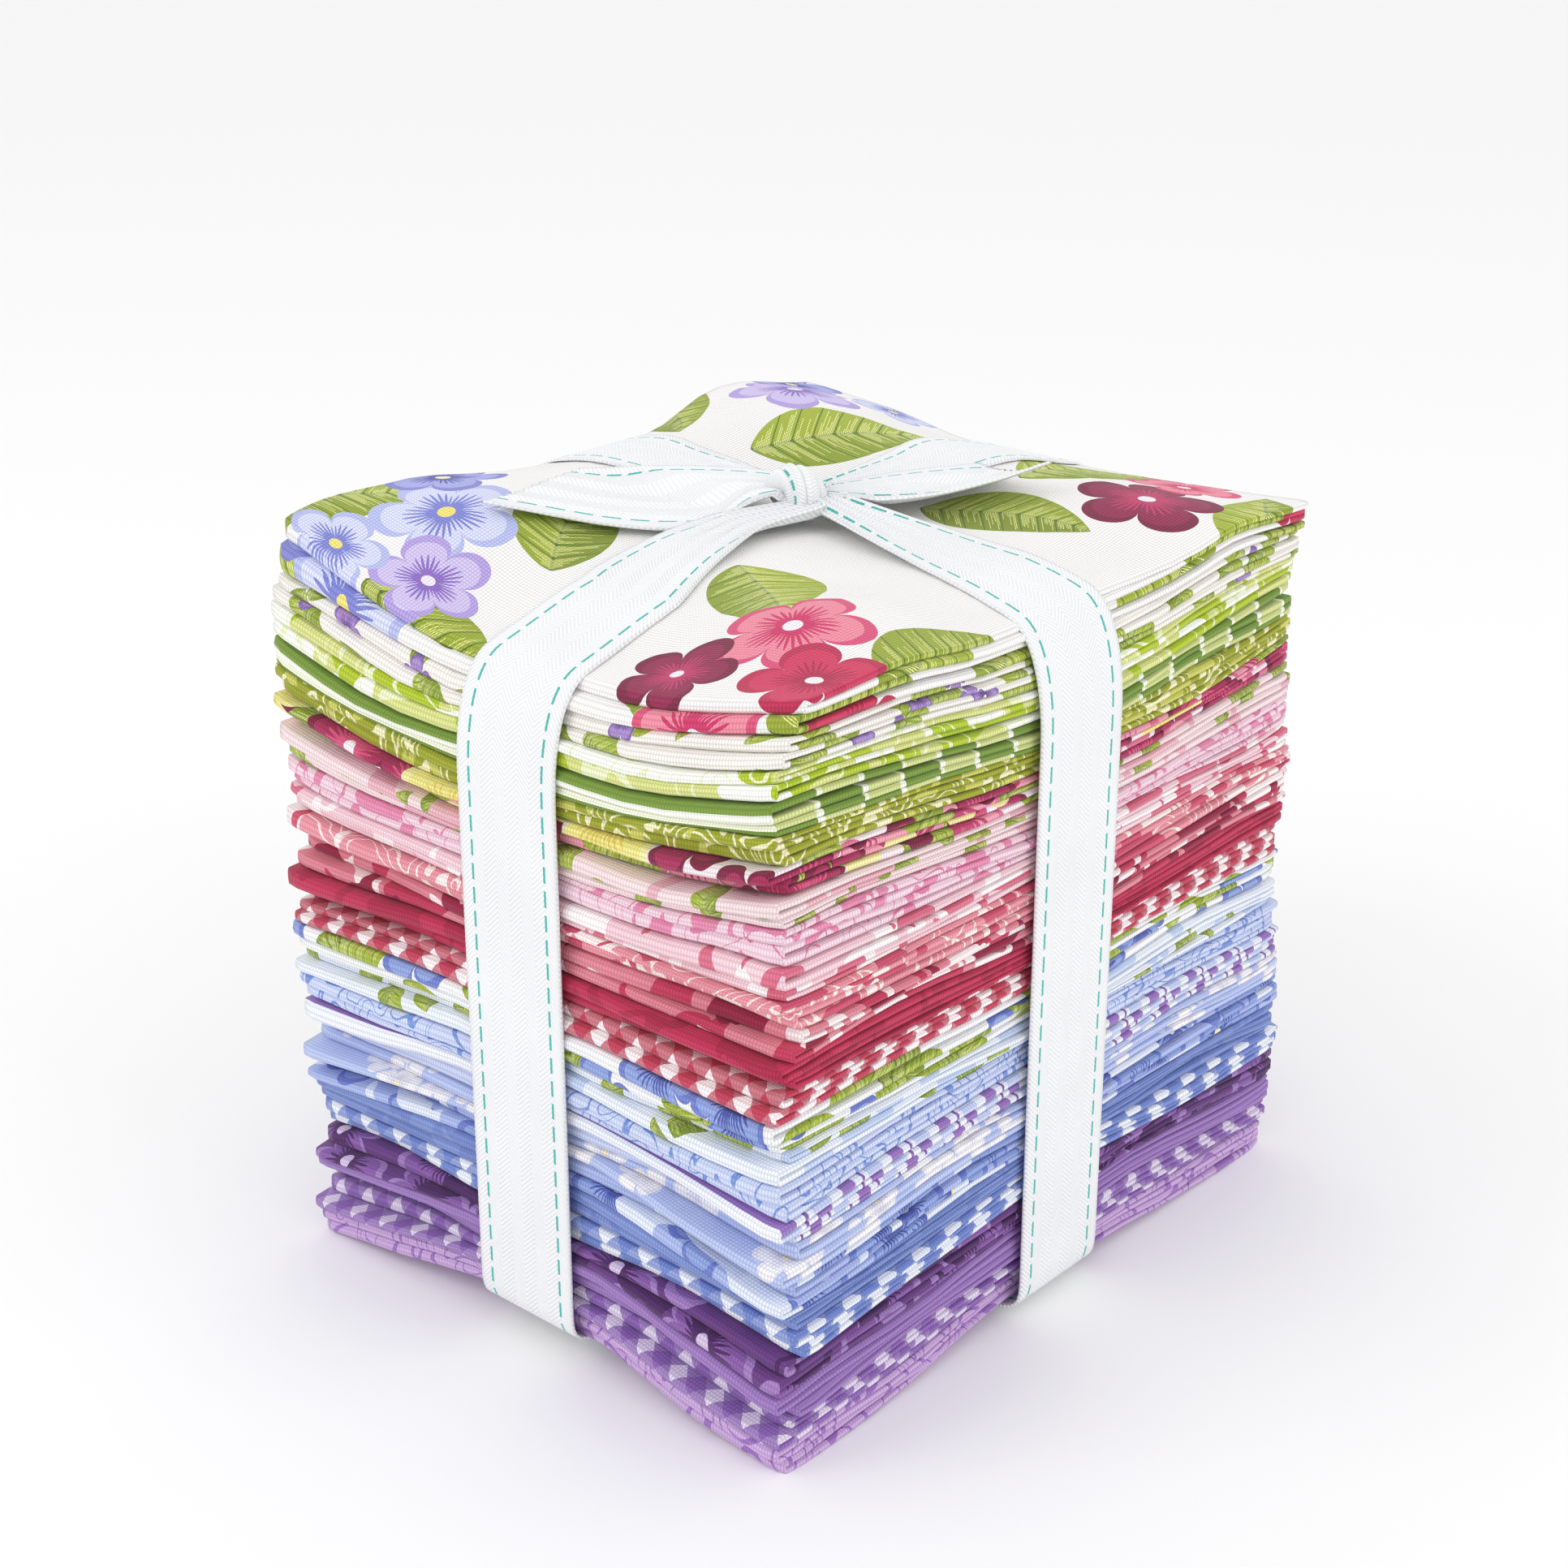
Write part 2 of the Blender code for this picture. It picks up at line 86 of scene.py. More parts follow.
def add_node(tree, kind, *inputs, out=0, at=None, **settings):
    """Add a shader node, feed its inputs in order (and others by name), return an output."""
    made = tree.nodes.new("ShaderNode" + kind)
    for name, value in settings.items():
        setattr(made, name, value)
    fed = list(enumerate(inputs)) + list((at or {}).items())
    for key, value in fed:
        if isinstance(value, bpy.types.NodeSocket):
            tree.links.new(value, made.inputs[key])
        elif value is not None:
            made.inputs[key].default_value = value
    return made.outputs[out]


# %% A helper that finishes a piece
def finish_piece(mesh_source, name, material, node, thickness):
    """Turn a bmesh into a smooth sheet of cloth that stands for a CAD node."""
    mesh = bpy.data.meshes.new(name)
    for face in mesh_source.faces:
        face.smooth = True
    mesh_source.to_mesh(mesh)
    mesh_source.free()
    mesh.materials.append(material)
    piece = bpy.data.objects.new(name, mesh)
    bpy.context.scene.collection.objects.link(piece)
    thicken = piece.modifiers.new("cloth_thickness", "SOLIDIFY")
    thicken.thickness = thickness
    thicken.offset = 0.0
    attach(piece, "root")
    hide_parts(node)
    return piece


# %% [markdown]
# ## The studio
# A white room: a pale floor, a bright even sky and two large soft lamps. Cloth has no
# highlights to speak of, so the light only has to be wide and level. The sky is the same
# all round, and the lamps add just enough from the left and the right to model the folds.

# %% A soft lamp
SKY_STRENGTH = 0.95
KEY_WATTS = 1.6
FILL_WATTS = 1.1
LAMP_SIZE = 0.5
MIDDLE_OF_BUNDLE = (0, 0, 0.07)
FLOOR_HALF = 6


def soft_lamp(name, place, aim, size, watts):
    """A square area lamp turned towards a point."""
    lamp = bpy.data.lights.new(name, "AREA")
    lamp.size = size
    lamp.energy = watts
    made = bpy.data.objects.new(name, lamp)
    made.location = Vector(place)
    made.rotation_euler = (Vector(aim) - made.location).to_track_quat("-Z", "Y").to_euler()
    bpy.context.scene.collection.objects.link(made)


# %% Floor and light
floor_mesh = bmesh.new()
bmesh.ops.create_grid(floor_mesh, x_segments=1, y_segments=1, size=FLOOR_HALF)
floor_data = bpy.data.meshes.new("floor")
floor_mesh.to_mesh(floor_data)
floor_mesh.free()
floor = bpy.data.objects.new("floor", floor_data)
bpy.context.scene.collection.objects.link(floor)
floor_paint = bpy.data.materials.new("matte_white_board")
floor_paint.use_nodes = True
floor_shader = floor_paint.node_tree.nodes["Principled BSDF"]
floor_shader.inputs["Base Color"].default_value = colour("FBFBFB")
floor_shader.inputs["Roughness"].default_value = 0.9
floor_data.materials.append(floor_paint)

sky = bpy.data.worlds.new("white_room")
bpy.context.scene.world = sky
sky.use_nodes = True
sky_light = sky.node_tree.nodes["Background"]
sky_light.inputs["Color"].default_value = colour("FFFFFF")
sky_light.inputs["Strength"].default_value = SKY_STRENGTH
bpy.context.scene.view_settings.view_transform = "Standard"
soft_lamp("key", (-0.35, -0.75, 0.75), MIDDLE_OF_BUNDLE, LAMP_SIZE, KEY_WATTS)
soft_lamp("fill", (0.85, 0.1, 0.6), MIDDLE_OF_BUNDLE, LAMP_SIZE, FILL_WATTS)
print("sky", SKY_STRENGTH, "key", KEY_WATTS, "fill", FILL_WATTS)

# %% [markdown]
# ## Where the cloth lies
# Each fat quarter is folded in four across its width (its plies) and back and forth in
# four along its length (its panels). The CAD model gives the flat stack's levels and the
# heights that the ribbon presses into it, and the same numbers are used here, with smooth
# curves between the stations where the CAD has creases. A cloth simulation could press the
# stack together too, but sums come out the same each run and keep to the CAD's places.

# %% The stack's sizes
CUT_WIDTH = 18 * INCH
CUT_LENGTH = 22 * INCH
RUNS = 4
HALF_X = CUT_WIDTH / RUNS / 2
HALF_Y = CUT_LENGTH / RUNS / 2
STACK_HEIGHT = 131 * MM
PANEL_GAP = 0.28 * MM
QUARTER_GAP = 0.42 * MM
QUARTER_COUNT = 25
QUARTER_PITCH = (STACK_HEIGHT + QUARTER_GAP) / QUARTER_COUNT
PANEL_THICK = (QUARTER_PITCH - QUARTER_GAP - (RUNS - 1) * PANEL_GAP) / RUNS
PANEL_PITCH = PANEL_THICK + PANEL_GAP
print("a quarter is", round(QUARTER_PITCH / MM, 2), "mm thick, folded")

# %% How far each quarter's edges stand out
# In mm, from the top down, as in the CAD
EDGE_COLUMNS = ("south_high", "south_low", "north", "east", "west")
EDGES = (
    (-2.2, -1.0, -1.5, 0.5, 0.5),
    (-0.5, 1.0, -2.0, 0.0, 0.5),
    (1.5, 1.5, -2.0, -0.6, 0.5),
    (2.2, 2.0, -1.5, -1.0, 0.0),
    (2.2, 0.2, -1.0, -1.0, 0.0),
    (2.6, -1.0, -0.8, -1.2, 0.4),
    (2.2, 1.0, 0.0, -1.0, 0.0),
    (1.0, 0.5, 0.3, -0.8, 0.0),
    (1.5, 0.0, -0.4, -0.4, -0.6),
    (2.0, -1.5, 0.0, 0.2, 0.0),
    (-2.0, 0.0, -0.8, 0.6, 0.0),
    (2.5, -1.5, -0.4, -0.2, 0.0),
    (0.5, 2.5, -0.5, -0.8, 0.0),
    (2.4, 1.2, 0.0, -1.2, 0.0),
    (-0.5, 2.4, -0.6, -0.6, 0.4),
    (1.5, 1.4, 0.6, -0.6, -0.5),
    (1.5, -1.0, 1.0, 0.0, -0.8),
    (-2.0, 2.2, 1.2, 0.4, -0.4),
    (-1.5, 2.0, 1.5, 0.2, 0.3),
    (0.5, -0.8, 1.8, -0.2, -0.6),
    (-0.5, -2.0, 2.4, 0.6, -1.0),
    (0.0, 2.2, 2.6, -0.3, -1.2),
    (2.2, -1.8, 2.0, 0.0, -0.4),
    (-1.5, 2.4, 1.5, -0.4, -0.6),
    (1.2, 0.5, 1.0, -0.4, -1.2),
)
print("edges stand out by up to", max(max(row) for row in EDGES), "mm")

# %% Heights over the flat stack
# In mm, a row for each station from north to south, each from west to east
LANE = 12.5 * MM
MID_X = 38 * MM
RUN_END_Y = 62 * MM
MID_Y = LANE + (MID_X - LANE) * (RUN_END_Y - LANE) / (HALF_X - LANE)
PLACES_X = (LANE, MID_X, HALF_X)
PLACES_Y = (LANE, MID_Y, RUN_END_Y)
TOP_HEIGHTS = (
    (3.0, 2.0, -1.5, -1.0, -0.5),
    (6.5, 8.0, 3.0, 2.5, 0.5),
    (1.5, 4.5, -2.0, -1.0, -5.5),
    (4.6, 4.4, -2.5, 2.5, -0.5),
    (1.0, -1.5, -8.0, -3.0, -0.5),
)
BOTTOM_HEIGHTS = (
    (0.0, 0.8, 3.0, 0.8, 0.0),
    (0.6, 0.0, 1.5, 0.0, 1.0),
    (3.0, 1.5, 1.5, 1.5, 3.0),
    (0.6, 0.0, 1.5, 0.0, 1.0),
    (0.0, 1.8, 4.4, 1.1, 0.0),
)
# Above STILL_HEIGHT the top table counts, and below it the bottom one
STILL_HEIGHT = 71 * MM
TOP_PILLOW = 3 * QUARTER_PITCH
BOTTOM_PILLOW = 2 * QUARTER_PITCH
CORNER_LIFT = 3.4 * MM
CENTRE_PUFF = 1.9 * MM
PUFF_REACH = 44 * MM
# Under the ribbon an edge keeps LANE_RAGGED of its raggedness and is drawn in by a pull
LANE_RAGGED = 0.3
TOP_PULL = 4.0 * MM
BOTTOM_PULL = 1.6 * MM
PULL_REACH = 16 * MM
print("the top rises by up to", max(max(row) for row in TOP_HEIGHTS), "mm")


# %% Clamp and ease
def clamp(value):
    """Keep a share between 0 and 1."""
    return min(1.0, max(0.0, value))


def ease(share):
    """A share that starts and stops gently."""
    share = clamp(share)
    return share * share * (3 - 2 * share)


# %% Heights as smooth curves
# How early a curve without its mid station rises: 1 is a plain square
BOW = 1.6


def curve_weights(distance, places, with_mid):
    """How much the lane, mid and edge heights count at a distance from the middle.

    The curve leaves the lane level, passes the mid station and runs straight on past the
    edge. Without its mid station it bows from the lane to the edge.
    """
    lane, mid, edge = places
    if distance <= lane:
        return 1.0, 0.0, 0.0
    if not with_mid:
        share = (distance - lane) / (edge - lane)
        bow = share * share * (BOW - (BOW - 1) * share)
        if share > 1:
            bow = 1 + (3 - BOW) * (share - 1)
        return 1 - bow, 0.0, bow
    long, first, last = edge - lane, mid - lane, edge - mid
    if distance <= mid:
        t = (distance - lane) / first
        rise, turn = t * t * (3 - 2 * t), t * t * (t - 1) * first / long
        return 1 - rise - turn, rise, turn
    t = (distance - mid) / last
    if t > 1:
        return 0.0, 1 - t, t
    turn = t * (1 - t) * (1 - t) * last / long
    end = t * t * (t - 1)
    rise = t * t * (3 - 2 * t)
    return -turn, 1 - rise - end, rise + turn + end


# %% Read a table of heights
def read_heights(table, x, y, with_mid):
    """A table's height at a place, in metres."""
    column = 2 if abs(x) <= LANE else (1 if x < 0 else 3)
    outer = 0 if x < 0 else 4
    across = curve_weights(abs(x), PLACES_X, with_mid)
    rows = (2, 3, 4) if y < 0 else (2, 1, 0)
    along = curve_weights(abs(y), PLACES_Y, with_mid)
    total = 0.0
    for row, share in zip(rows, along):
        cells = table[row]
        total += share * (
            across[0] * cells[2] + across[1] * cells[column] + across[2] * cells[outer]
        )
    return total * MM


# %% Settle a point and place an edge
def settle(x, y, level):
    """The height at which a point of the flat stack comes to lie in the tied bundle."""
    top_share = clamp((level - STILL_HEIGHT) / (STACK_HEIGHT - STILL_HEIGHT))
    bottom_share = clamp((STILL_HEIGHT - level) / STILL_HEIGHT)
    rise = 0.0
    for table, share, depth, pillow in (
        (TOP_HEIGHTS, top_share, STACK_HEIGHT - level, TOP_PILLOW),
        (BOTTOM_HEIGHTS, bottom_share, level, BOTTOM_PILLOW),
    ):
        if share <= 0:
            continue
        coarse = read_heights(table, x, y, False)
        rise += share * coarse
        swell = clamp(1 - depth / pillow)
        if swell > 0:
            rise += swell * (read_heights(table, x, y, True) - coarse)
    loose = clamp((level - STACK_HEIGHT + QUARTER_PITCH) / QUARTER_PITCH)
    to_corner = ease((-x - MID_X) / (HALF_X - MID_X)) * ease((-y - MID_Y) / (RUN_END_Y - MID_Y))
    near_knot = 1 - ease(math.hypot(x, y) / PUFF_REACH)
    puffed = CENTRE_PUFF * near_knot * clamp(1 - (STACK_HEIGHT - level) / TOP_PILLOW)
    return level + rise + puffed + CORNER_LIFT * loose * to_corner


def edge_place(half, stands_out, across, level):
    """How far out an edge lies at a place along it, drawn in where the ribbon crosses."""
    in_lane = ease((abs(across) - LANE) / (MID_X - LANE))
    near_end = clamp(1 - min(level, STACK_HEIGHT - level) / PULL_REACH)
    most = TOP_PULL if level > STILL_HEIGHT else BOTTOM_PULL
    pull = most * near_end * near_end * (1 - in_lane)
    return half + stands_out * (LANE_RAGGED + (1 - LANE_RAGGED) * in_lane) - pull


print("corner heights", [round(settle(sx * HALF_X, sy * RUN_END_Y, STACK_HEIGHT) / MM, 1)
                         for sx in (-1, 1) for sy in (-1, 1)])

# %% [markdown]
# ## Folding a cloth
# A cloth is made as it is in life: cut flat, as a grid with its measurements kept as a UV
# map in metres, and then folded. A folding path says where each line of the grid goes: out
# along one run, round a fold, and back along the next. The width is folded first, in a
# nest of plies, and then the four plies together are folded back and forth in panels. A
# plain block would be lighter, but only real layers have edges that catch the light.

# %% Folding paths
# FOLD_DEPTH is how far a fold bulges for its radius, FOLD_SQUARE how square it is pressed,
# and ARC_SHARE the length of cloth in half a fold for its depth
PLY_OFFSET = 0.28 * MM
CLOTH_THICK = 0.2 * MM
FOLD_DEPTH = 0.9
FOLD_SQUARE = 0.66
ARC_SHARE = 1.3
CROWDING = 0.7


def folding_path(levels, first_side, length, half, tip, flat_steps, fold_steps):
    """Stations along a folded strip: cloth distance, place, side, level, turn and facing.

    levels are the runs' levels in order, and tip is how far the thickest fold bulges past
    the place where its run ends. On a run, turn is None. In a fold, turn holds the cosine,
    the sine and the fold's radius, signed by the way that it climbs. Stations crowd towards
    the ends of a run, where the edges show.
    """
    stations = []
    run = length / len(levels)
    arc = tip * ARC_SHARE
    side = first_side
    for number, level in enumerate(levels):
        facing = 1 if number % 2 == 0 else -1
        last = number == len(levels) - 1
        start = 0.0 if number == 0 else arc
        stop = run if last else run - arc
        for step in range(flat_steps + 1):
            even = step / flat_steps
            share = even + CROWDING * ((1 - math.cos(math.pi * even)) / 2 - even)
            place = side * (half - tip) * (2 * share - 1)
            if number == 0:
                place = side * (-half + (2 * half - tip) * share)
            if last:
                place = side * (-(half - tip) + (2 * half - tip) * share)
            stations.append((number * run + start + (stop - start) * share,
                             place, side, level, None, facing))
        if not last:
            climb = (levels[number + 1] - level) / 2
            for step in range(1, fold_steps):
                turn = math.pi * (step / fold_steps - 0.5)
                stations.append((
                    (number + 1) * run + arc * (2 * step / fold_steps - 1),
                    side * (half - tip), side, level + climb,
                    (math.cos(turn) ** FOLD_SQUARE, math.sin(turn), climb), facing,
                ))
        side = -side
    return stations


# %% A place on a folding path
def place_on_path(station, offset):
    """Place and level of a station for a ply that lies off the middle by an offset."""
    _, place, side, level, turn, facing = station
    if turn is None:
        return place, level + facing * offset
    reach, lift, climb = turn
    radius = abs(climb) - math.copysign(1, climb) * facing * offset
    return (place + side * FOLD_DEPTH * radius * reach,
            level + math.copysign(1, climb) * radius * lift)


# %% The levels of plies and panels
PLY_LEVELS = [-1.5 * PLY_OFFSET, 1.5 * PLY_OFFSET, 0.5 * PLY_OFFSET, -0.5 * PLY_OFFSET]
PLY_TIP = FOLD_DEPTH * 1.5 * PLY_OFFSET
PANEL_TIP = FOLD_DEPTH * (PANEL_PITCH / 2 + 1.5 * PLY_OFFSET)
LEAST_PITCH = 1.1 * MM


def panel_levels(low_share):
    """The four panels' levels. low_share is the lower south fold's share of the spare room."""
    spare = 3 * (PANEL_PITCH - LEAST_PITCH)
    first = PANEL_THICK / 2
    last = first + 3 * PANEL_PITCH
    return [first, first + LEAST_PITCH + spare * low_share,
            last - LEAST_PITCH - spare * (1 - low_share), last]


print("fold radii", round(PLY_TIP / MM, 2), round(PANEL_TIP / MM, 2), "mm")

# %% How a cloth wavers
# WAVE is how far an edge wanders along a fold. SAG and SOFT are how far layers waver in
# height, SAG in the thick of the stack and SOFT everywhere. Each has its noise's waves to
# the metre across, along and, for the heights, from level to level
WAVE = 1.0 * MM
FOLD_WAVES = (28, 20)
LAYER_WAVES = (20, 34)
SAG = 2.0 * MM
SAG_WAVES = (26, 26, 180)
SAG_DEPTH = 12 * MM
SOFT = 0.15 * MM
SOFT_WAVES = (60, 60, 90)
EDGE_REACH = 14 * MM
CORNER_ROUND = 2.2 * MM
LOWEST = 0.15 * MM


def edge_moves(number, edges, x, y, level, panel_at):
    """How far the edges near a point move out, and the point's share of each move.

    Edges along a fold wander as one, and each layer of a side with open folds by itself.
    The seeds give each cloth, edge and layer a stretch of noise of its own.
    """
    south = "south_high" if panel_at > CUT_LENGTH / 2 else "south_low"
    column = south if y < 0 else "north"
    seed = number * 7.3 + EDGE_COLUMNS.index(column) * 2.9
    ripple = noise.noise(Vector((x * FOLD_WAVES[0], y * FOLD_WAVES[1], seed)))
    out_y = edge_place(HALF_Y, edges[column] * MM, x, level) - HALF_Y + WAVE * ripple
    column = "west" if x < 0 else "east"
    seed = number * 5.1 + panel_at / HALF_Y * 0.85
    ripple = noise.noise(Vector((x * LAYER_WAVES[0], y * LAYER_WAVES[1], seed)))
    out_x = edge_place(HALF_X, edges[column] * MM, y, level) - HALF_X + WAVE * ripple
    reach_x = ease((abs(x) - HALF_X + EDGE_REACH) / EDGE_REACH)
    reach_y = ease((abs(y) - HALF_Y + EDGE_REACH) / EDGE_REACH)
    return out_x, out_y, reach_x, reach_y


# %% Corners and layers
def round_corner(x, y, out_x, out_y):
    """Bring a point beyond a corner's rounding back on to it."""
    over_x = abs(x) - (HALF_X + out_x - CORNER_ROUND)
    over_y = abs(y) - (HALF_Y + out_y - CORNER_ROUND)
    if over_x > 0 and over_y > 0:
        keep = max(over_x, over_y) / math.hypot(over_x, over_y)
        x -= math.copysign(over_x * (1 - keep), x)
        y -= math.copysign(over_y * (1 - keep), y)
    return x, y


def waver(x, y, level):
    """How far the cloth rises or sags at a place."""
    soft = noise.noise(Vector((x * SOFT_WAVES[0], y * SOFT_WAVES[1], level * SOFT_WAVES[2])))
    sag = noise.noise(Vector((x * SAG_WAVES[0], y * SAG_WAVES[1], level * SAG_WAVES[2])))
    inside = clamp(min(level, STACK_HEIGHT - level) / SAG_DEPTH)
    return SOFT * soft + SAG * inside * sag


# %% Fold one fat quarter
FINE_STEPS = (24, 28)
PLAIN_STEPS = (15, 16)
PLY_FOLD_STEPS = 6
PANEL_FOLD_STEPS = 8
# The lower south fold takes about this share of the spare room, and all of it on top
LOW_SHARE = 0.45


def fold_cloth(number, row, steps):
    """The grid of one flat fat quarter, folded and settled into its place in the stack."""
    plies = folding_path(PLY_LEVELS, 1, CUT_WIDTH, HALF_X, PLY_TIP, steps[0],
                         PLY_FOLD_STEPS)
    low_share = 1.0 if number == 0 else clamp(
        LOW_SHARE + noise.noise(Vector((number * 2.7, 0.5, 0.5))))
    panels = folding_path(panel_levels(low_share), -1, CUT_LENGTH, HALF_Y, PANEL_TIP,
                          steps[1], PANEL_FOLD_STEPS)
    edges = dict(zip(EDGE_COLUMNS, row))
    bottom = (QUARTER_COUNT - 1 - number) * QUARTER_PITCH
    cloth = bmesh.new()
    bmesh.ops.create_grid(cloth, x_segments=len(plies) - 1, y_segments=len(panels) - 1,
                          size=0.5)
    grid = sorted(cloth.verts, key=lambda v: (round(v.co.y, 6), round(v.co.x, 6)))
    uv = cloth.loops.layers.uv.new("cut_cloth")
    flat_place = {}
    for index, vert in enumerate(grid):
        line, post = divmod(index, len(plies))
        ply, panel = plies[post], panels[line]
        flat_place[vert] = (ply[0], panel[0])
        x, through = place_on_path(ply, 0.0)
        y, rise = place_on_path(panel, through)
        level = bottom + rise
        out_x, out_y, reach_x, reach_y = edge_moves(number, edges, x, y, level, panel[0])
        x += (out_x if x > 0 else -out_x) * reach_x
        y += (out_y if y > 0 else -out_y) * reach_y
        x, y = round_corner(x, y, out_x, out_y)
        height = settle(x, y, level) + waver(x, y, level)
        vert.co = (x, y, max(height, LOWEST))
    for face in cloth.faces:
        for loop in face.loops:
            loop[uv].uv = flat_place[loop.vert]
    return cloth


# %% [markdown]
# ## Plain weave
# Quilting cotton is a plain weave of about 70 threads to the inch, printed on one side and
# pressed. Threads of 0.36 mm would be lost between the pixels, so they are drawn at 0.62 mm,
# which still reads as fine cloth. A picture of cloth could be wrapped round the folds, but
# two sine waves stay sharp at any size. They are a group of nodes that every cotton shares:
# it takes a place on the cut cloth and gives the height of the thread there.

# %% Node groups for weaves and drawn motifs
THREAD_PITCH = 0.62 * MM


def drawing_group(name, masks):
    """A node group that takes a place and gives masks: its tree, place and way out."""
    tree = bpy.data.node_groups.new(name, "ShaderNodeTree")
    tree.interface.new_socket("Place", in_out="INPUT", socket_type="NodeSocketVector")
    for mask in masks:
        tree.interface.new_socket(mask, in_out="OUTPUT", socket_type="NodeSocketFloat")
    place = tree.nodes.new("NodeGroupInput").outputs[0]
    way_out = tree.nodes.new("NodeGroupOutput")
    return tree, place, way_out


def give_masks(tree, way_out, masks):
    """Join a drawing's masks to its way out."""
    for name, mask in masks.items():
        tree.links.new(mask, way_out.inputs[name])
    return tree


def weave_group():
    """Threads that go over and under each other, as a height between 0 and 1."""
    tree, place, way_out = drawing_group("plain_weave", ("Height",))
    along = add_node(tree, "VectorMath", place, operation="SCALE",
                     at={"Scale": math.pi / THREAD_PITCH})
    across = add_node(tree, "SeparateXYZ", along)
    waves = [add_node(tree, "Math", side, operation="SINE")
             for side in (across, across.node.outputs[1])]
    crossing = add_node(tree, "Math", *waves, operation="MULTIPLY")
    height = add_node(tree, "Math", crossing, operation="ABSOLUTE")
    return give_masks(tree, way_out, {"Height": height})


plain_weave = weave_group()
print("threads to the inch, as drawn", round(INCH / THREAD_PITCH))

# %% [markdown]
# ## Flowers and leaves
# The large florals need flowers and leaves that can be put down anywhere. Each is a drawing
# in its own units, a flower of radius 1 or a leaf from -1 to 1, made with a few sums on the
# place: the angle gives the petals, and a slanted count gives a leaf's veins. They could
# be painted as a picture, but sums need no file and keep a crisp edge. These are ordinary
# five-petalled flowers and almond leaves, in a layout of their own.


# %% Draw a flower
PETAL_COUNT = 5
PETAL_ROUND = 0.45
NOTCH = 0.5
STREAK_COUNT = 33
DEEP_REACH = 0.42
DEEP_RAGGED = 0.16
EDGE_WIDTH = 0.16
EYE = 0.12


def flower_group():
    """A five-petalled flower: its petals, the deep streaks at their base, and its eye.

    The rim lies at 1 in the middle of a petal and at the notch between two, and the streaks
    make the end of the deep part ragged.
    """
    tree, place, way_out = drawing_group("flower_drawing", ("Petals", "Deep", "Edge", "Eye"))
    x = add_node(tree, "SeparateXYZ", place)
    angle = add_node(tree, "Math", x.node.outputs[1], x, operation="ARCTAN2")
    radius = add_node(tree, "VectorMath", place, operation="LENGTH", out=1)
    lobe = add_node(tree, "Math", angle, PETAL_COUNT / 2, operation="MULTIPLY")
    lobe = add_node(tree, "Math", lobe, operation="COSINE")
    lobe = add_node(tree, "Math", lobe, operation="ABSOLUTE")
    lobe = add_node(tree, "Math", lobe, PETAL_ROUND, operation="POWER")
    rim = add_node(tree, "Math", lobe, 1 - NOTCH, NOTCH, operation="MULTIPLY_ADD")
    share = add_node(tree, "Math", radius, rim, operation="DIVIDE")
    streak = add_node(tree, "Math", angle, STREAK_COUNT, operation="MULTIPLY")
    streak = add_node(tree, "Math", streak, operation="SINE")
    reach = add_node(tree, "Math", streak, DEEP_RAGGED, DEEP_REACH, operation="MULTIPLY_ADD")
    masks = {
        "Petals": add_node(tree, "Math", share, 1.0, operation="LESS_THAN"),
        "Deep": add_node(tree, "Math", share, reach, operation="LESS_THAN"),
        "Edge": add_node(tree, "Math", share, 1 - EDGE_WIDTH / 2, EDGE_WIDTH / 2,
                         operation="COMPARE"),
        "Eye": add_node(tree, "Math", radius, EYE, operation="LESS_THAN"),
    }
    return give_masks(tree, way_out, masks)


# %% Draw a leaf
SPINE_BEND = 0.12
LEAF_BLUNT = 0.85
LEAF_WIDTH = 0.5
LEAF_TAPER = -0.16
RIB_HALF = 0.016
VEIN_COUNT = 4.5
VEIN_SLANT = -2.6
VEIN_HALF = 0.035
VEIN_ROOM = 0.11
STROKE_COUNT = 11
STROKE_SHARE = 0.42


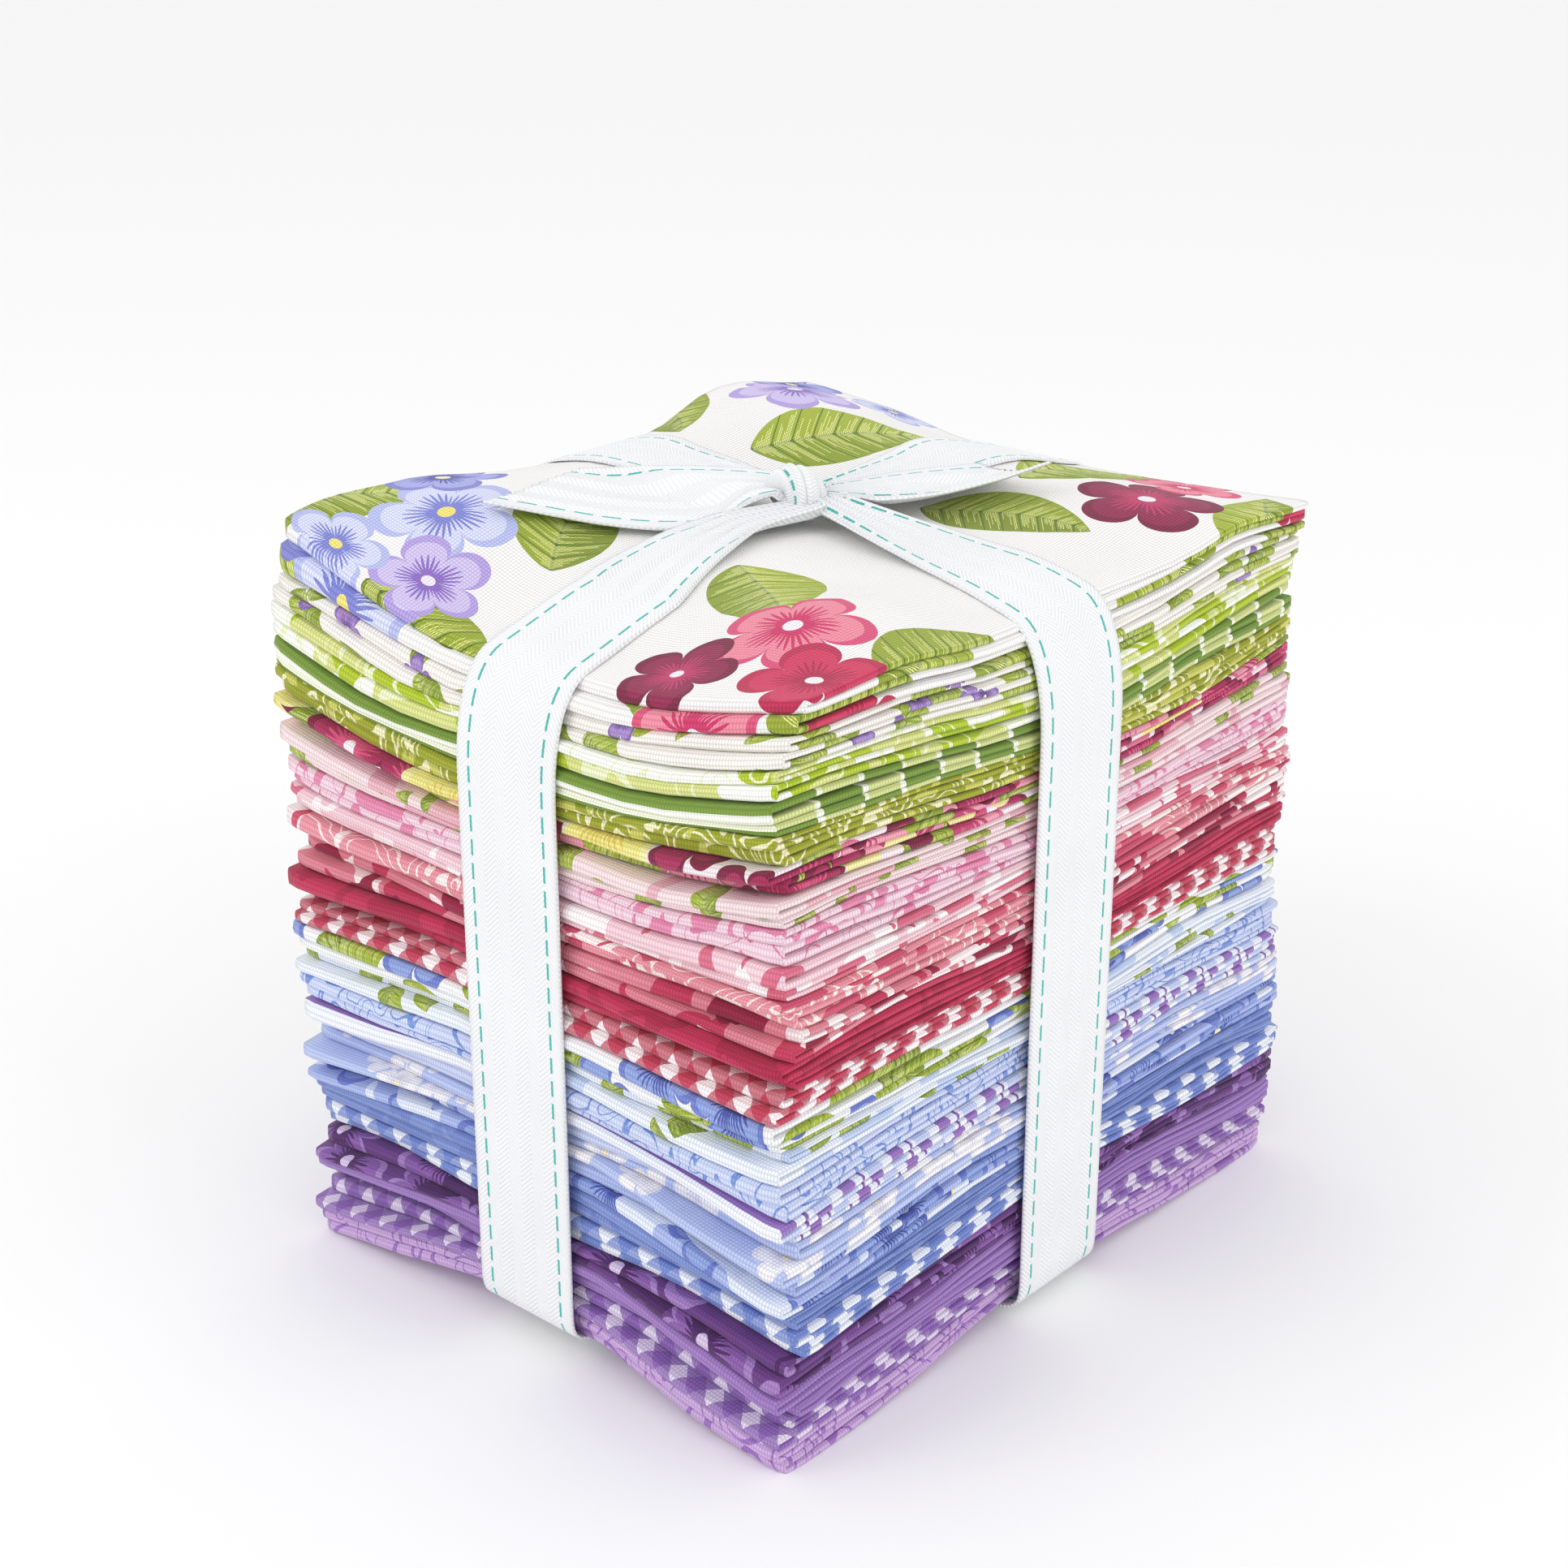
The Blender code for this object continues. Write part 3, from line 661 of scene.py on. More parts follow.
def leaf_group():
    """An almond leaf along X: the leaf, its veins, and fine light strokes between them.

    The spine bends a little. A count that slants away from it gives the veins, and a finer
    one the strokes, each cut short by a random number.
    """
    tree, place, way_out = drawing_group("leaf_drawing", ("Leaf", "Shade", "Veins", "Strokes"))
    x = add_node(tree, "SeparateXYZ", place)
    y = x.node.outputs[1]
    bent = add_node(tree, "Math", x, x, operation="MULTIPLY")
    spine = add_node(tree, "Math", bent, SPINE_BEND, y, operation="MULTIPLY_ADD")
    side = add_node(tree, "Math", spine, operation="ABSOLUTE")
    room = add_node(tree, "Math", 1.0, bent, operation="SUBTRACT")
    room = add_node(tree, "Math", room, LEAF_BLUNT, operation="POWER")
    taper = add_node(tree, "Math", x, LEAF_TAPER, LEAF_WIDTH, operation="MULTIPLY_ADD")
    width = add_node(tree, "Math", room, taper, operation="MULTIPLY")
    slant = add_node(tree, "Math", side, VEIN_SLANT, operation="MULTIPLY")
    count = add_node(tree, "Math", x, VEIN_COUNT, slant, operation="MULTIPLY_ADD")
    between = add_node(tree, "Math", count, operation="FRACT")
    vein = add_node(tree, "Math", between, 0.5, VEIN_HALF, operation="COMPARE")
    rib = add_node(tree, "Math", side, 0.0, RIB_HALF, operation="COMPARE")
    stroke = add_node(tree, "Math", count, STROKE_COUNT, operation="MULTIPLY")
    number = add_node(tree, "Math", stroke, operation="FLOOR")
    luck = add_node(tree, "TexWhiteNoise", noise_dimensions="1D", at={"W": number})
    stroke = add_node(tree, "Math", stroke, operation="FRACT")
    stroke = add_node(tree, "Math", stroke, STROKE_SHARE, operation="LESS_THAN")
    beside = add_node(tree, "Math", between, 0.5, VEIN_ROOM, operation="COMPARE")
    beside = add_node(tree, "Math", 1.0, beside, operation="SUBTRACT")
    reach = add_node(tree, "Math", luck, width, operation="MULTIPLY")
    inside = add_node(tree, "Math", side, reach, operation="LESS_THAN")
    strokes = add_node(tree, "Math", stroke, beside, operation="MULTIPLY")
    masks = {
        "Leaf": add_node(tree, "Math", width, side, operation="GREATER_THAN"),
        "Shade": add_node(tree, "Math", spine, 0.0, operation="LESS_THAN"),
        "Veins": add_node(tree, "Math", vein, rib, operation="MAXIMUM"),
        "Strokes": add_node(tree, "Math", strokes, inside, operation="MULTIPLY"),
    }
    return give_masks(tree, way_out, masks)


DRAWINGS = {"flower": flower_group(), "leaf": leaf_group()}
print("drawings", list(DRAWINGS))


# %% Paint a mask or a motif over a colour
def paint(tree, under, mask, code, strength=1.0):
    """Lay a colour over what is under it where the mask is 1."""
    if strength < 1.0:
        mask = add_node(tree, "Math", mask, strength, operation="MULTIPLY")
    return add_node(tree, "Mix", mask, at={6: under, 7: colour(code)}, out=2,
                    data_type="RGBA")


def paint_motif(tree, under, kind, place, codes):
    """Draw a flower or a leaf at a place given in its own units.

    codes are the colours of the drawing's four masks. All but the first stay inside it.
    """
    drawing = add_node(tree, "Group", place, node_tree=DRAWINGS[kind]).node
    body = drawing.outputs[0]
    for number, code in enumerate(codes):
        mask = drawing.outputs[number]
        if number:
            mask = add_node(tree, "Math", mask, body, operation="MULTIPLY")
        under = paint(tree, under, mask, code)
    return under


# %% [markdown]
# ## Repeats
# The other prints are repeats, of which a fold shows only a strip 2.6 mm high. Each is a
# ground colour and a few layers over it. Scattered flowers and leaves sit one to a cell of
# a Voronoi texture, as spots do, patches and brush lines come from a noise, and stripes
# and checks from a sum on the place. Each kind of layer is one function, so 24 prints need
# no more than a table. Every layer's size is in millimetres.


# %% Scattered motifs and spots
CELL_SHIFT = (37 * MM, 53 * MM)
LOOSE_CELLS = 0.8


def shifted(tree, place, seed, shift):
    """The place moved on by a seed, so that each layer shows a stretch of its own."""
    return add_node(tree, "VectorMath", place, (seed * shift[0], seed * shift[1], 0.0),
                    operation="ADD")


def cells(tree, place, size, seed, randomness):
    """The place in the nearest cell, and a random number that belongs to the cell."""
    moved = shifted(tree, place, seed, CELL_SHIFT)
    voronoi = add_node(tree, "TexVoronoi", moved, voronoi_dimensions="2D",
                       at={"Scale": 1 / size, "Randomness": randomness}).node
    local = add_node(tree, "VectorMath", moved, voronoi.outputs["Position"],
                     operation="SUBTRACT")
    luck = add_node(tree, "SeparateColor", voronoi.outputs["Color"])
    return local, luck


def scatter_layer(tree, under, place, kind, size, share, codes, seed):
    """Flowers or leaves, one to a cell, each turned its own way."""
    local, luck = cells(tree, place, size, seed, LOOSE_CELLS)
    angle = add_node(tree, "Math", luck, 2 * math.pi, operation="MULTIPLY")
    turned = add_node(tree, "VectorRotate", local, rotation_type="Z_AXIS", at={"Angle": angle})
    own_units = add_node(tree, "VectorMath", turned, operation="SCALE",
                         at={"Scale": 1 / (size * share)})
    return paint_motif(tree, under, kind, own_units, codes)


def spot_layer(tree, under, place, size, share, code, seed):
    """Round spots in rows."""
    local, _ = cells(tree, place, size, seed, 0.0)
    reach = add_node(tree, "VectorMath", local, operation="LENGTH", out=1)
    return paint(tree, under, add_node(tree, "Math", reach, size * share,
                                       operation="LESS_THAN"), code)


# %% Patches and brush lines
NOISE_SHIFT = (41 * MM, 29 * MM)
NOISE_DETAIL = 1.5
NOISE_WARP = 0.6
SPREAD_OF_NOISE = 0.3
CONTOURS = 9


def noise_height(tree, place, size, seed):
    """A noise whose hills are about a size apart."""
    moved = shifted(tree, place, seed, NOISE_SHIFT)
    return add_node(tree, "TexNoise", moved, noise_dimensions="2D",
                    at={"Scale": 1 / size, "Detail": NOISE_DETAIL, "Distortion": NOISE_WARP})


def patch_layer(tree, under, place, size, share, code, seed):
    """Patches with a crisp edge that cover a share of the cloth."""
    height = noise_height(tree, place, size, seed)
    limit = 0.5 + SPREAD_OF_NOISE * (0.5 - share)
    return paint(tree, under, add_node(tree, "Math", height, limit,
                                       operation="GREATER_THAN"), code)


def line_layer(tree, under, place, size, share, code, seed):
    """Wandering brush lines: the noise's contours."""
    height = noise_height(tree, place, size, seed)
    steps = add_node(tree, "Math", height, CONTOURS, operation="MULTIPLY")
    steps = add_node(tree, "Math", steps, operation="FRACT")
    return paint(tree, under, add_node(tree, "Math", steps, 0.5, share,
                                       operation="COMPARE"), code)


# %% Stripes and ginghams
CHECK_DYE = 0.8


def stripe_layer(tree, under, place, size, share, code, seed, turn=0.0, strength=1.0):
    """Stripes along the cloth's width, or turned. seed shifts them, in mm."""
    turned = add_node(tree, "Mapping", place, vector_type="TEXTURE",
                      at={"Location": (0.0, seed * MM, 0.0), "Rotation": (0.0, 0.0, turn)})
    across = add_node(tree, "SeparateXYZ", turned, out=1)
    count = add_node(tree, "Math", across, size, operation="DIVIDE")
    count = add_node(tree, "Math", count, operation="FRACT")
    mask = add_node(tree, "Math", count, 0.5, share / 2, operation="COMPARE")
    return paint(tree, under, mask, code, strength)


def check_layer(tree, under, place, size, share, code, seed):
    """A gingham on the bias: two sets of thin-dyed stripes, deepest where they cross."""
    for turn in (math.pi / 4, -math.pi / 4):
        under = stripe_layer(tree, under, place, size, share, code, seed, turn, CHECK_DYE)
    return under


LAYERS = {"patches": patch_layer, "lines": line_layer, "stripes": stripe_layer,
          "check": check_layer, "spots": spot_layer}
print("layers", list(LAYERS))

# %% [markdown]
# ## Printed cotton
# A printed cotton is matt and a little fuzzy: high roughness, a faint sheen, and a low bump
# from the threads. The colour is painted darker between the threads, a painted shade for the
# hollows of the weave, and a slow unevenness keeps a plain ground from looking like paper. The
# threads could be modelled, but they are so low that a bump gives the eye the same.

# %% A woven surface
# A colour is painted darker towards the bottom of the threads, a painted shade, by the
# thread shade share below, and stays as it is at EVEN_HEIGHT
COTTON_ROUGHNESS = 0.88
COTTON_SHEEN = 0.12
THREAD_DEPTH = 0.07 * MM
PAINTED_THREAD_SHADE = 0.42
EVEN_HEIGHT = 0.55
UNEVEN_SIZE = 18 * MM
UNEVEN_DEPTH = 0.12


def woven_surface(material, painted, height, depth, shade):
    """Finish a cloth: paint shade into its colour by the thread's height, darker between the
    threads, and raise them.
    """
    tree = material.node_tree
    shader = tree.nodes["Principled BSDF"]
    place = add_node(tree, "TexCoord", out=3)
    uneven = add_node(tree, "TexNoise", place, at={"Scale": 1 / UNEVEN_SIZE, "Detail": 3.0})
    # Painted shade: the colour is darkened in the hollows between the threads
    light = add_node(tree, "Math", height, shade, 1.0 - EVEN_HEIGHT * shade,
                     operation="MULTIPLY_ADD")
    slow = add_node(tree, "Math", uneven, UNEVEN_DEPTH, 1 - UNEVEN_DEPTH / 4,
                    operation="MULTIPLY_ADD")
    light = add_node(tree, "Math", light, slow, operation="MULTIPLY")
    colour_with_painted_shade = add_node(tree, "VectorMath", painted, operation="SCALE", at={"Scale": light})
    tree.links.new(colour_with_painted_shade, shader.inputs["Base Color"])
    raised = add_node(tree, "Bump", 1.0, depth, at={"Height": height})
    tree.links.new(raised, shader.inputs["Normal"])
    return shader


# %% Make a cotton
def start_cloth(name, ground, uv_map):
    """A new material, the place on its flat cloth and its ground colour."""
    material = bpy.data.materials.new(name)
    material.use_nodes = True
    place = add_node(material.node_tree, "UVMap", uv_map=uv_map)
    painted = add_node(material.node_tree, "RGB")
    painted.default_value = colour(ground)
    return material, place, painted


def finish_cotton(material, painted, place):
    """Weave a printed cotton and set its sheen."""
    height = add_node(material.node_tree, "Group", place, node_tree=plain_weave)
    shader = woven_surface(material, painted, height, THREAD_DEPTH, PAINTED_THREAD_SHADE)
    shader.inputs["Roughness"].default_value = COTTON_ROUGHNESS
    shader.inputs["Sheen Weight"].default_value = COTTON_SHEEN
    return material


def printed_cotton(name, ground, layers):
    """A cotton with a ground colour and printed layers."""
    material, place, painted = start_cloth(name, ground, "cut_cloth")
    tree = material.node_tree
    for kind, size, share, codes, seed in layers:
        if kind in DRAWINGS:
            painted = scatter_layer(tree, painted, place, kind, size * MM, share,
                                    codes.split(), seed)
        else:
            painted = LAYERS[kind](tree, painted, place, size * MM, share, codes, seed)
    return finish_cotton(material, painted, place)


# %% [markdown]
# ## The top print
# The topmost cotton is the one that shows whole, so its motifs are put down one by one. The
# table gives each motif's place on the folded quarter's top, in mm from its middle, its
# turn and its size. Scattering them would be quicker, but motifs this large are seen one by
# one, and the flowers sit in clusters. The cloth below the fold repeats the same field.

# %% The top print's motifs
FIELD_WIDTH = 150 * MM
FIELD_LENGTH = 152 * MM
# On the cut cloth the top lies in the first run across and the last one along
TOP_MIDDLE = (HALF_X, (RUNS - 0.5) * 2 * HALF_Y, 0.0)
PALETTES = {
    "rose": "EE8BA0 CF2F67 DB4F7B F6EDF6",
    "burgundy": "931B4E C23166 7C143E F3EEF8",
    "red": "D2345F B31B4C BE2854 F8EEF3",
    "sky": "D5DAF6 7F85D2 B7BEEC F2E27A",
    "iris": "A6ABE6 5A55AC 8587D0 F4F0C0",
    "lilac": "D0C3EE 8D6CC4 B4A0E0 F0E8F6",
    "green": "A6B636 90A22F 5D7A2B EFF1A2",
    "olive": "98A832 84952B 56722A E8EC94",
}
MOTIFS = (
    ("leaf", -27, -30, 118, 17, "olive"),
    ("leaf", -58, -56, 64, 18, "green"),
    ("leaf", -20, -72, -20, 18, "olive"),
    ("leaf", 22, -34, -38, 18, "green"),
    ("leaf", 59, -35, 96, 19, "olive"),
    ("leaf", 25, 24, 12, 16, "olive"),
    ("leaf", 60, 50, 128, 19, "green"),
    ("leaf", 20, 55, 75, 18, "green"),
    ("leaf", -22, 36, 60, 19, "green"),
    ("leaf", -60, 27, -30, 18, "olive"),
    ("flower", -40, -46, 15, 13, "sky"),
    ("flower", -54, -34, 50, 11, "iris"),
    ("flower", -30, -60, 65, 11, "lilac"),
    ("flower", -47, -66, 30, 10, "sky"),
    ("flower", 38, -47, 25, 13, "rose"),
    ("flower", 52, -59, 60, 12, "red"),
    ("flower", 27, -62, 10, 11, "burgundy"),
    ("flower", 41, 42, 40, 13, "burgundy"),
    ("flower", 36, 62, 5, 11, "rose"),
    ("flower", -42, 45, 20, 13, "lilac"),
    ("flower", -55, 60, 60, 11, "iris"),
    ("flower", -33, 65, 35, 10, "sky"),
)
print("the top print has", len(MOTIFS), "motifs")


# %% Put down the top print's motifs
def top_cotton(name, ground):
    """The large floral with its motifs placed one by one."""
    material, place, painted = start_cloth(name, ground, "cut_cloth")
    tree = material.node_tree
    centred = add_node(tree, "VectorMath", place, TOP_MIDDLE, operation="SUBTRACT")
    half = (FIELD_WIDTH / 2, FIELD_LENGTH / 2, 1.0)
    field = add_node(tree, "VectorMath", centred, half, [-side for side in half],
                     operation="WRAP")
    for kind, x, y, turn, size, palette in MOTIFS:
        local = add_node(tree, "Mapping", field, vector_type="TEXTURE", at={
            "Location": (x * MM, y * MM, 0.0),
            "Rotation": (0.0, 0.0, math.radians(turn)),
            "Scale": (size * MM, size * MM, 1.0),
        })
        painted = paint_motif(tree, painted, kind, local, PALETTES[palette].split())
    return finish_cotton(material, painted, place)


# %% [markdown]
# ## The other prints
# From the top down the colours go through greens, pinks, blues and purples. Each row names
# the ground and its layers: what it is, its size in mm, its share, its colours and a seed.
# A table like this is easier to tune than 24 materials made by hand.

# %% The table of prints
ROSE = "EE9DB2 C23A6E DC6F93 FBF1F4"
SPRIG = "A3B53A 8C9F32 6C882C E4E8A2"
VIOLET = "A98BCB 6E4A9C 8C6BB5 F3E9B8"
BLUE = "8FA4DE 4E5CAE 6F80CC F4F0C0"
WHITE = "F7F5F8 DDD9E8 EDEAF2 F2EBC0"
PRINTS = (
    ("F5F3F2", ()),
    ("F4F0EA", (("leaf", 15, 0.42, SPRIG, 2), ("flower", 21, 0.17, VIOLET, 5))),
    ("D9DE8C", (("patches", 26, 0.42, "B2C826", 3), ("patches", 20, 0.32, "FAFBF4", 8),
                ("lines", 24, 0.06, "EDF3C8", 5))),
    ("779638", (("stripes", 18, 0.42, "D2DA92", 9.4), ("stripes", 18, 0.05, "F6F7E2", 5.2),
                ("stripes", 18, 0.07, "F8FAF0", 13.6))),
    ("9FA526", (("lines", 12, 0.13, "F3EEC2", 4), ("patches", 7, 0.12, "CDCD62", 9))),
    ("F4E6EC", (("flower", 30, 0.5, ROSE, 1), ("leaf", 32, 0.34, SPRIG, 6),
                ("flower", 26, 0.4, "A8285A D8527F 7F1740 F7EEF6", 9),
                ("flower", 44, 0.3, "EFE58A E3C95A F3EDA8 FFFFFF", 4))),
    ("F4DDE0", (("leaf", 14, 0.36, SPRIG, 7), ("patches", 16, 0.18, "E9B4C0", 2))),
    ("F3D3E0", (("patches", 6, 0.14, "E58BB0", 3), ("lines", 16, 0.04, "E088AC", 6))),
    ("F4CFD9", (("patches", 10, 0.3, "FDF6F7", 2), ("patches", 9, 0.16, "DC6F8A", 5))),
    ("E995A3", (("patches", 9, 0.22, "FBEDEC", 6), ("lines", 15, 0.08, "FBEDE6", 2),
                ("patches", 11, 0.12, "CE4F70", 11))),
    ("E08797", (("patches", 15, 0.36, "C4385C", 4), ("patches", 10, 0.26, "FBEFF0", 9),
                ("patches", 14, 0.18, "971B42", 12))),
    ("C02A55", (("patches", 9, 0.4, "AC1F48", 3),)),
    ("FBF1F3", (("check", 5.6, 0.5, "C01C49", 2),)),
    ("F4F5F8", (("leaf", 24, 0.46, SPRIG, 3), ("flower", 26, 0.36, BLUE, 8))),
    ("EAF0FA", (("leaf", 15, 0.36, SPRIG, 1), ("patches", 14, 0.22, "C4D4F2", 4))),
    ("CDD7F6", (("lines", 12, 0.08, "7B98DB", 6),)),
    ("EFF2FB", (("stripes", 12, 0.3, "C9D3F3", 2.0), ("stripes", 12, 0.24, "9C75C0", 7.6),
                ("stripes", 12, 0.05, "8A62B2", 11.0))),
    ("BAC7F0", (("flower", 12, 0.42, WHITE, 5),)),
    ("ACBAEA", (("flower", 20, 0.46, BLUE, 2), ("patches", 16, 0.2, "E2E9F8", 7))),
    ("8094D1", (("patches", 10, 0.35, "7387C8", 1),)),
    ("EEF2FB", (("check", 6.2, 0.5, "6C84CE", 4),)),
    ("6A3A82", (("flower", 22, 0.5, "8A5AA6 4E2263 A47EC0 D9C4E4", 3),
                ("patches", 12, 0.22, "4C2160", 6))),
    ("A07AC0", (("spots", 7, 0.2, "7B549E", 1),)),
    ("E4D8EE", (("check", 5.6, 0.52, "8A5CB2", 3),)),
    ("CFADDF", (("lines", 14, 0.08, "A274C2", 2),)),
)

# %% Fold all the cloths
for number, (row, (ground, layers)) in enumerate(zip(EDGES, PRINTS)):
    node = f"fat_quarter_{number + 1:02d}"
    cotton_name = f"printed_cotton_{number + 1:02d}"
    cotton = top_cotton(cotton_name, ground) if number == 0 else printed_cotton(
        cotton_name, ground, layers)
    steps = FINE_STEPS if number == 0 else PLAIN_STEPS
    piece = finish_piece(fold_cloth(number, row, steps), f"folded_cloth_{number + 1:02d}",
                         cotton, node, CLOTH_THICK)
print("folded", QUARTER_COUNT, "cloths")

# %% [markdown]
# ## The ribbon
# A 22 mm woven cotton tape goes round the stack both ways, crosses underneath and is
# knotted on top. A curve with a flat profile would give a band too, but it can't be
# pleated. So it is made as strips of grid laid along smooth lines, with the flat ribbon's
# measurements as a UV map. Near the knot a strip is gathered, and its width goes into pleats.

# %% Ribbon sizes
RIBBON_WIDTH = 22 * MM
RIBBON_THICK = 0.45 * MM
# How far a band's middle line keeps off the top and the sides
RIBBON_OFF = 0.5 * MM
SIDE_OFF_X = 1.5 * MM
SIDE_OFF_Y = 2.0 * MM
# Depths in mm under the top at which a band follows the cloth's edge. It is upright by
# BROW_TURN
BROW_DEPTHS = (0.0, 1.2, 2.8, 5.0, 8.0, 12.0, 16.0)
BROW_TURN = 5.0
FOOT_RADIUS = 3.0 * MM
KNOT_MIDDLE = Vector((-1.3, -1.6, 135.8)) * MM
# Distances from the knot and a band's widths there, in mm
BAND_WIDTHS = ((0, 6.0), (8, 9.0), (21, 15.0), (38, 21.0), (46, 22.0))


def band_width(distance):
    """A band is gathered into the knot and opens to the ribbon's width away from it."""
    for (near, narrow), (far, wide) in zip(BAND_WIDTHS, BAND_WIDTHS[1:]):
        if distance <= far * MM:
            share = (distance / MM - near) / (far - near)
            return (narrow + (wide - narrow) * share) * MM
    return RIBBON_WIDTH


# %% Walk along a line
def distances(points):
    """How far along a line each of its points lies."""
    lengths = [0.0]
    for a, b in zip(points, points[1:]):
        lengths.append(lengths[-1] + (b - a).length)
    return lengths


def heading_at(points, number):
    """Which way a line goes at one of its points."""
    return (points[min(len(points) - 1, number + 1)] - points[max(0, number - 1)]).normalized()


def even_path(points, step, smooth_rounds):
    """The same line walked at even steps, with its corners worn smooth."""
    lengths = distances(points)
    count = round(lengths[-1] / step)
    walked, piece = [], 0
    for number in range(count + 1):
        along = lengths[-1] * number / count
        while piece < len(points) - 2 and lengths[piece + 1] < along:
            piece += 1
        share = (along - lengths[piece]) / (lengths[piece + 1] - lengths[piece])
        walked.append(points[piece].lerp(points[piece + 1], share))
    for _ in range(smooth_rounds):
        inner = [(a + b * 2 + c) / 4 for a, b, c in zip(walked, walked[1:], walked[2:])]
        walked = [walked[0]] + inner + [walked[-1]]
    return walked


# %% The parts of a band's line
# A band is pulled straight from the knot as far as LOFT. CROSSING_REACH is where it starts
# to rise underneath and where it is over the other band
LOFT = 34 * MM
CROSSING_REACH = (14 * MM, 11.5 * MM)
FOOT_FOLLOWS = 1.1
TOP_STEP = 2.5 * MM
EDGE_ROOM = 2 * MM
FOOT_STEPS = 6
UNDER_STEPS = 14


def top_points(sign, half, height_at, in_knot):
    """Points from the knot over the top: pulled straight near it, and then on the cloth."""
    points = []
    reached = height_at(sign * LOFT) + RIBBON_OFF
    for step in range(1, 1 + int((half - TOP_PULL - EDGE_ROOM) / TOP_STEP)):
        along = step * TOP_STEP
        lies = height_at(sign * along) + RIBBON_OFF
        pulled = in_knot + (reached - in_knot) * along / LOFT
        points.append(Vector((sign * along, max(lies, pulled) if along < LOFT else lies)))
    return points


def brow_points(sign, half, side_off, height_at):
    """Points that go with the cloth's drawn-in edge from the top round to the side."""
    points = []
    for depth in BROW_DEPTHS:
        edge = half - TOP_PULL * (1 - depth * MM / PULL_REACH) ** 2
        turn = math.radians(90) * clamp(depth / BROW_TURN)
        height = height_at(sign * edge) - depth * MM + RIBBON_OFF * math.cos(turn)
        points.append(Vector((sign * (edge + side_off * math.sin(turn)), height)))
    return points


# %% The part under the bundle
def under_points(sign, side, foot_at, crossing):
    """Points round the bottom edge and in to the middle, where the bands cross."""
    points = []
    for step in range(FOOT_STEPS + 1):
        turn = math.radians(90 * step / FOOT_STEPS)
        points.append(Vector((sign * (side - FOOT_RADIUS * (1 - math.cos(turn))),
                              foot_at(sign * side) + FOOT_RADIUS * (1 - math.sin(turn)))))
    far, near = CROSSING_REACH
    for step in range(1, UNDER_STEPS):
        along = (side - FOOT_RADIUS) * (1 - step / UNDER_STEPS)
        if along > far:
            points.append(Vector((sign * along, foot_at(sign * along))))
    points.append(Vector((sign * far, foot_at(0))))
    points.append(Vector((sign * near, foot_at(0) + crossing)))
    return points


# %% The line of a band
IN_KNOT = 2 * MM
BAND_STEP = 1.5 * MM
SMOOTH_ROUNDS = 3
OVER_FLOOR = 0.05 * MM


def band_line(half, side_off, height_at, foot_at, crossing, in_knot):
    """The middle line of a band round the stack, as (along, z), from knot to knot.

    height_at and foot_at give the cloth's heights above and below it. crossing is how far
    the band rises underneath, to pass over the other one.
    """
    west, east = [top_points(sign, half, height_at, in_knot)
                  + brow_points(sign, half, side_off, height_at)
                  + under_points(sign, half + side_off, foot_at, crossing)
                  for sign in (-1, 1)]
    line = [Vector((-IN_KNOT, in_knot))] + west + east[::-1] + [Vector((IN_KNOT, in_knot))]
    return even_path(line, BAND_STEP, SMOOTH_ROUNDS)


def foot_height(x, y):
    """The height of a band under the cloth: on the floor, rising with the cloth outwards."""
    risen = max(0.0, settle(x, y, 0) - settle(0, 0, 0))
    return RIBBON_THICK / 2 + OVER_FLOOR + FOOT_FOLLOWS * risen


line_y = band_line(HALF_Y, SIDE_OFF_Y, lambda y: settle(0, y, STACK_HEIGHT),
                   lambda y: foot_height(0, y), 0.0, KNOT_MIDDLE.z - 1.0 * MM)
line_x = band_line(HALF_X, SIDE_OFF_X, lambda x: settle(x, 0, STACK_HEIGHT),
                   lambda x: foot_height(x, 0), RIBBON_THICK + OVER_FLOOR,
                   KNOT_MIDDLE.z - 0.2 * MM)
print("bands", len(line_x), len(line_y), "stations")

# %% Lay a strip of ribbon
# STRIP_STARTS says where on the flat ribbon's weave each strip starts, in metres
BAND_COLUMNS = 24
STRIP_STARTS = {"band_y": 0.0, "band_x": 0.7, "west_tail": 1.4, "east_tail": 1.5, "wrap": 1.6}


def ribbon_strip(ribbon, uv, stations, to_space, start, zigzag=0.0, narrowed=1.0, shift=0.0,
                 columns=BAND_COLUMNS):
    """Add a strip to the ribbon: each station ends with its distance along the strip.

    The UV map is in metres across and along the flat ribbon. A strip that shows only part
    of the ribbon's width has that part narrowed and shifted.
    """
    before = set(ribbon.verts)
    bmesh.ops.create_grid(ribbon, x_segments=columns, y_segments=len(stations) - 1, size=0.5)
    made = [v for v in ribbon.verts if v not in before]
    made.sort(key=lambda v: (round(v.co.y, 6), round(v.co.x, 6)))
    flat_place = {}
    for index, vert in enumerate(made):
        line, post = divmod(index, columns + 1)
        share = post / columns - 0.5
        tooth = zigzag * (post % 2) if line == len(stations) - 1 else 0.0
        vert.co = to_space(stations[line], share, tooth)
        across = (share * narrowed + shift) * RIBBON_WIDTH
        flat_place[vert] = (across, start + stations[line][-1] - tooth)
    for face in {face for vert in made for face in vert.link_faces}:
        for loop in face.loops:
            loop[uv].uv = flat_place[loop.vert]


# %% Pleats and stations of a band
# SOUTH_START and SOUTH_DRIFT are how far the band along Y strays to the side near the knot
PLEATS = 4
PLEAT_CREST = 0.65
PLEAT_HEIGHT = 1.9 * MM
PLEAT_REACH = 27 * MM
# The pleats shift across as a band goes on, by radians to the metre
PLEAT_TURN = 20
SOUTH_START = 4.0 * MM
START_REACH = 14 * MM
SOUTH_DRIFT = -4.0 * MM
DRIFT_REACH = 42 * MM


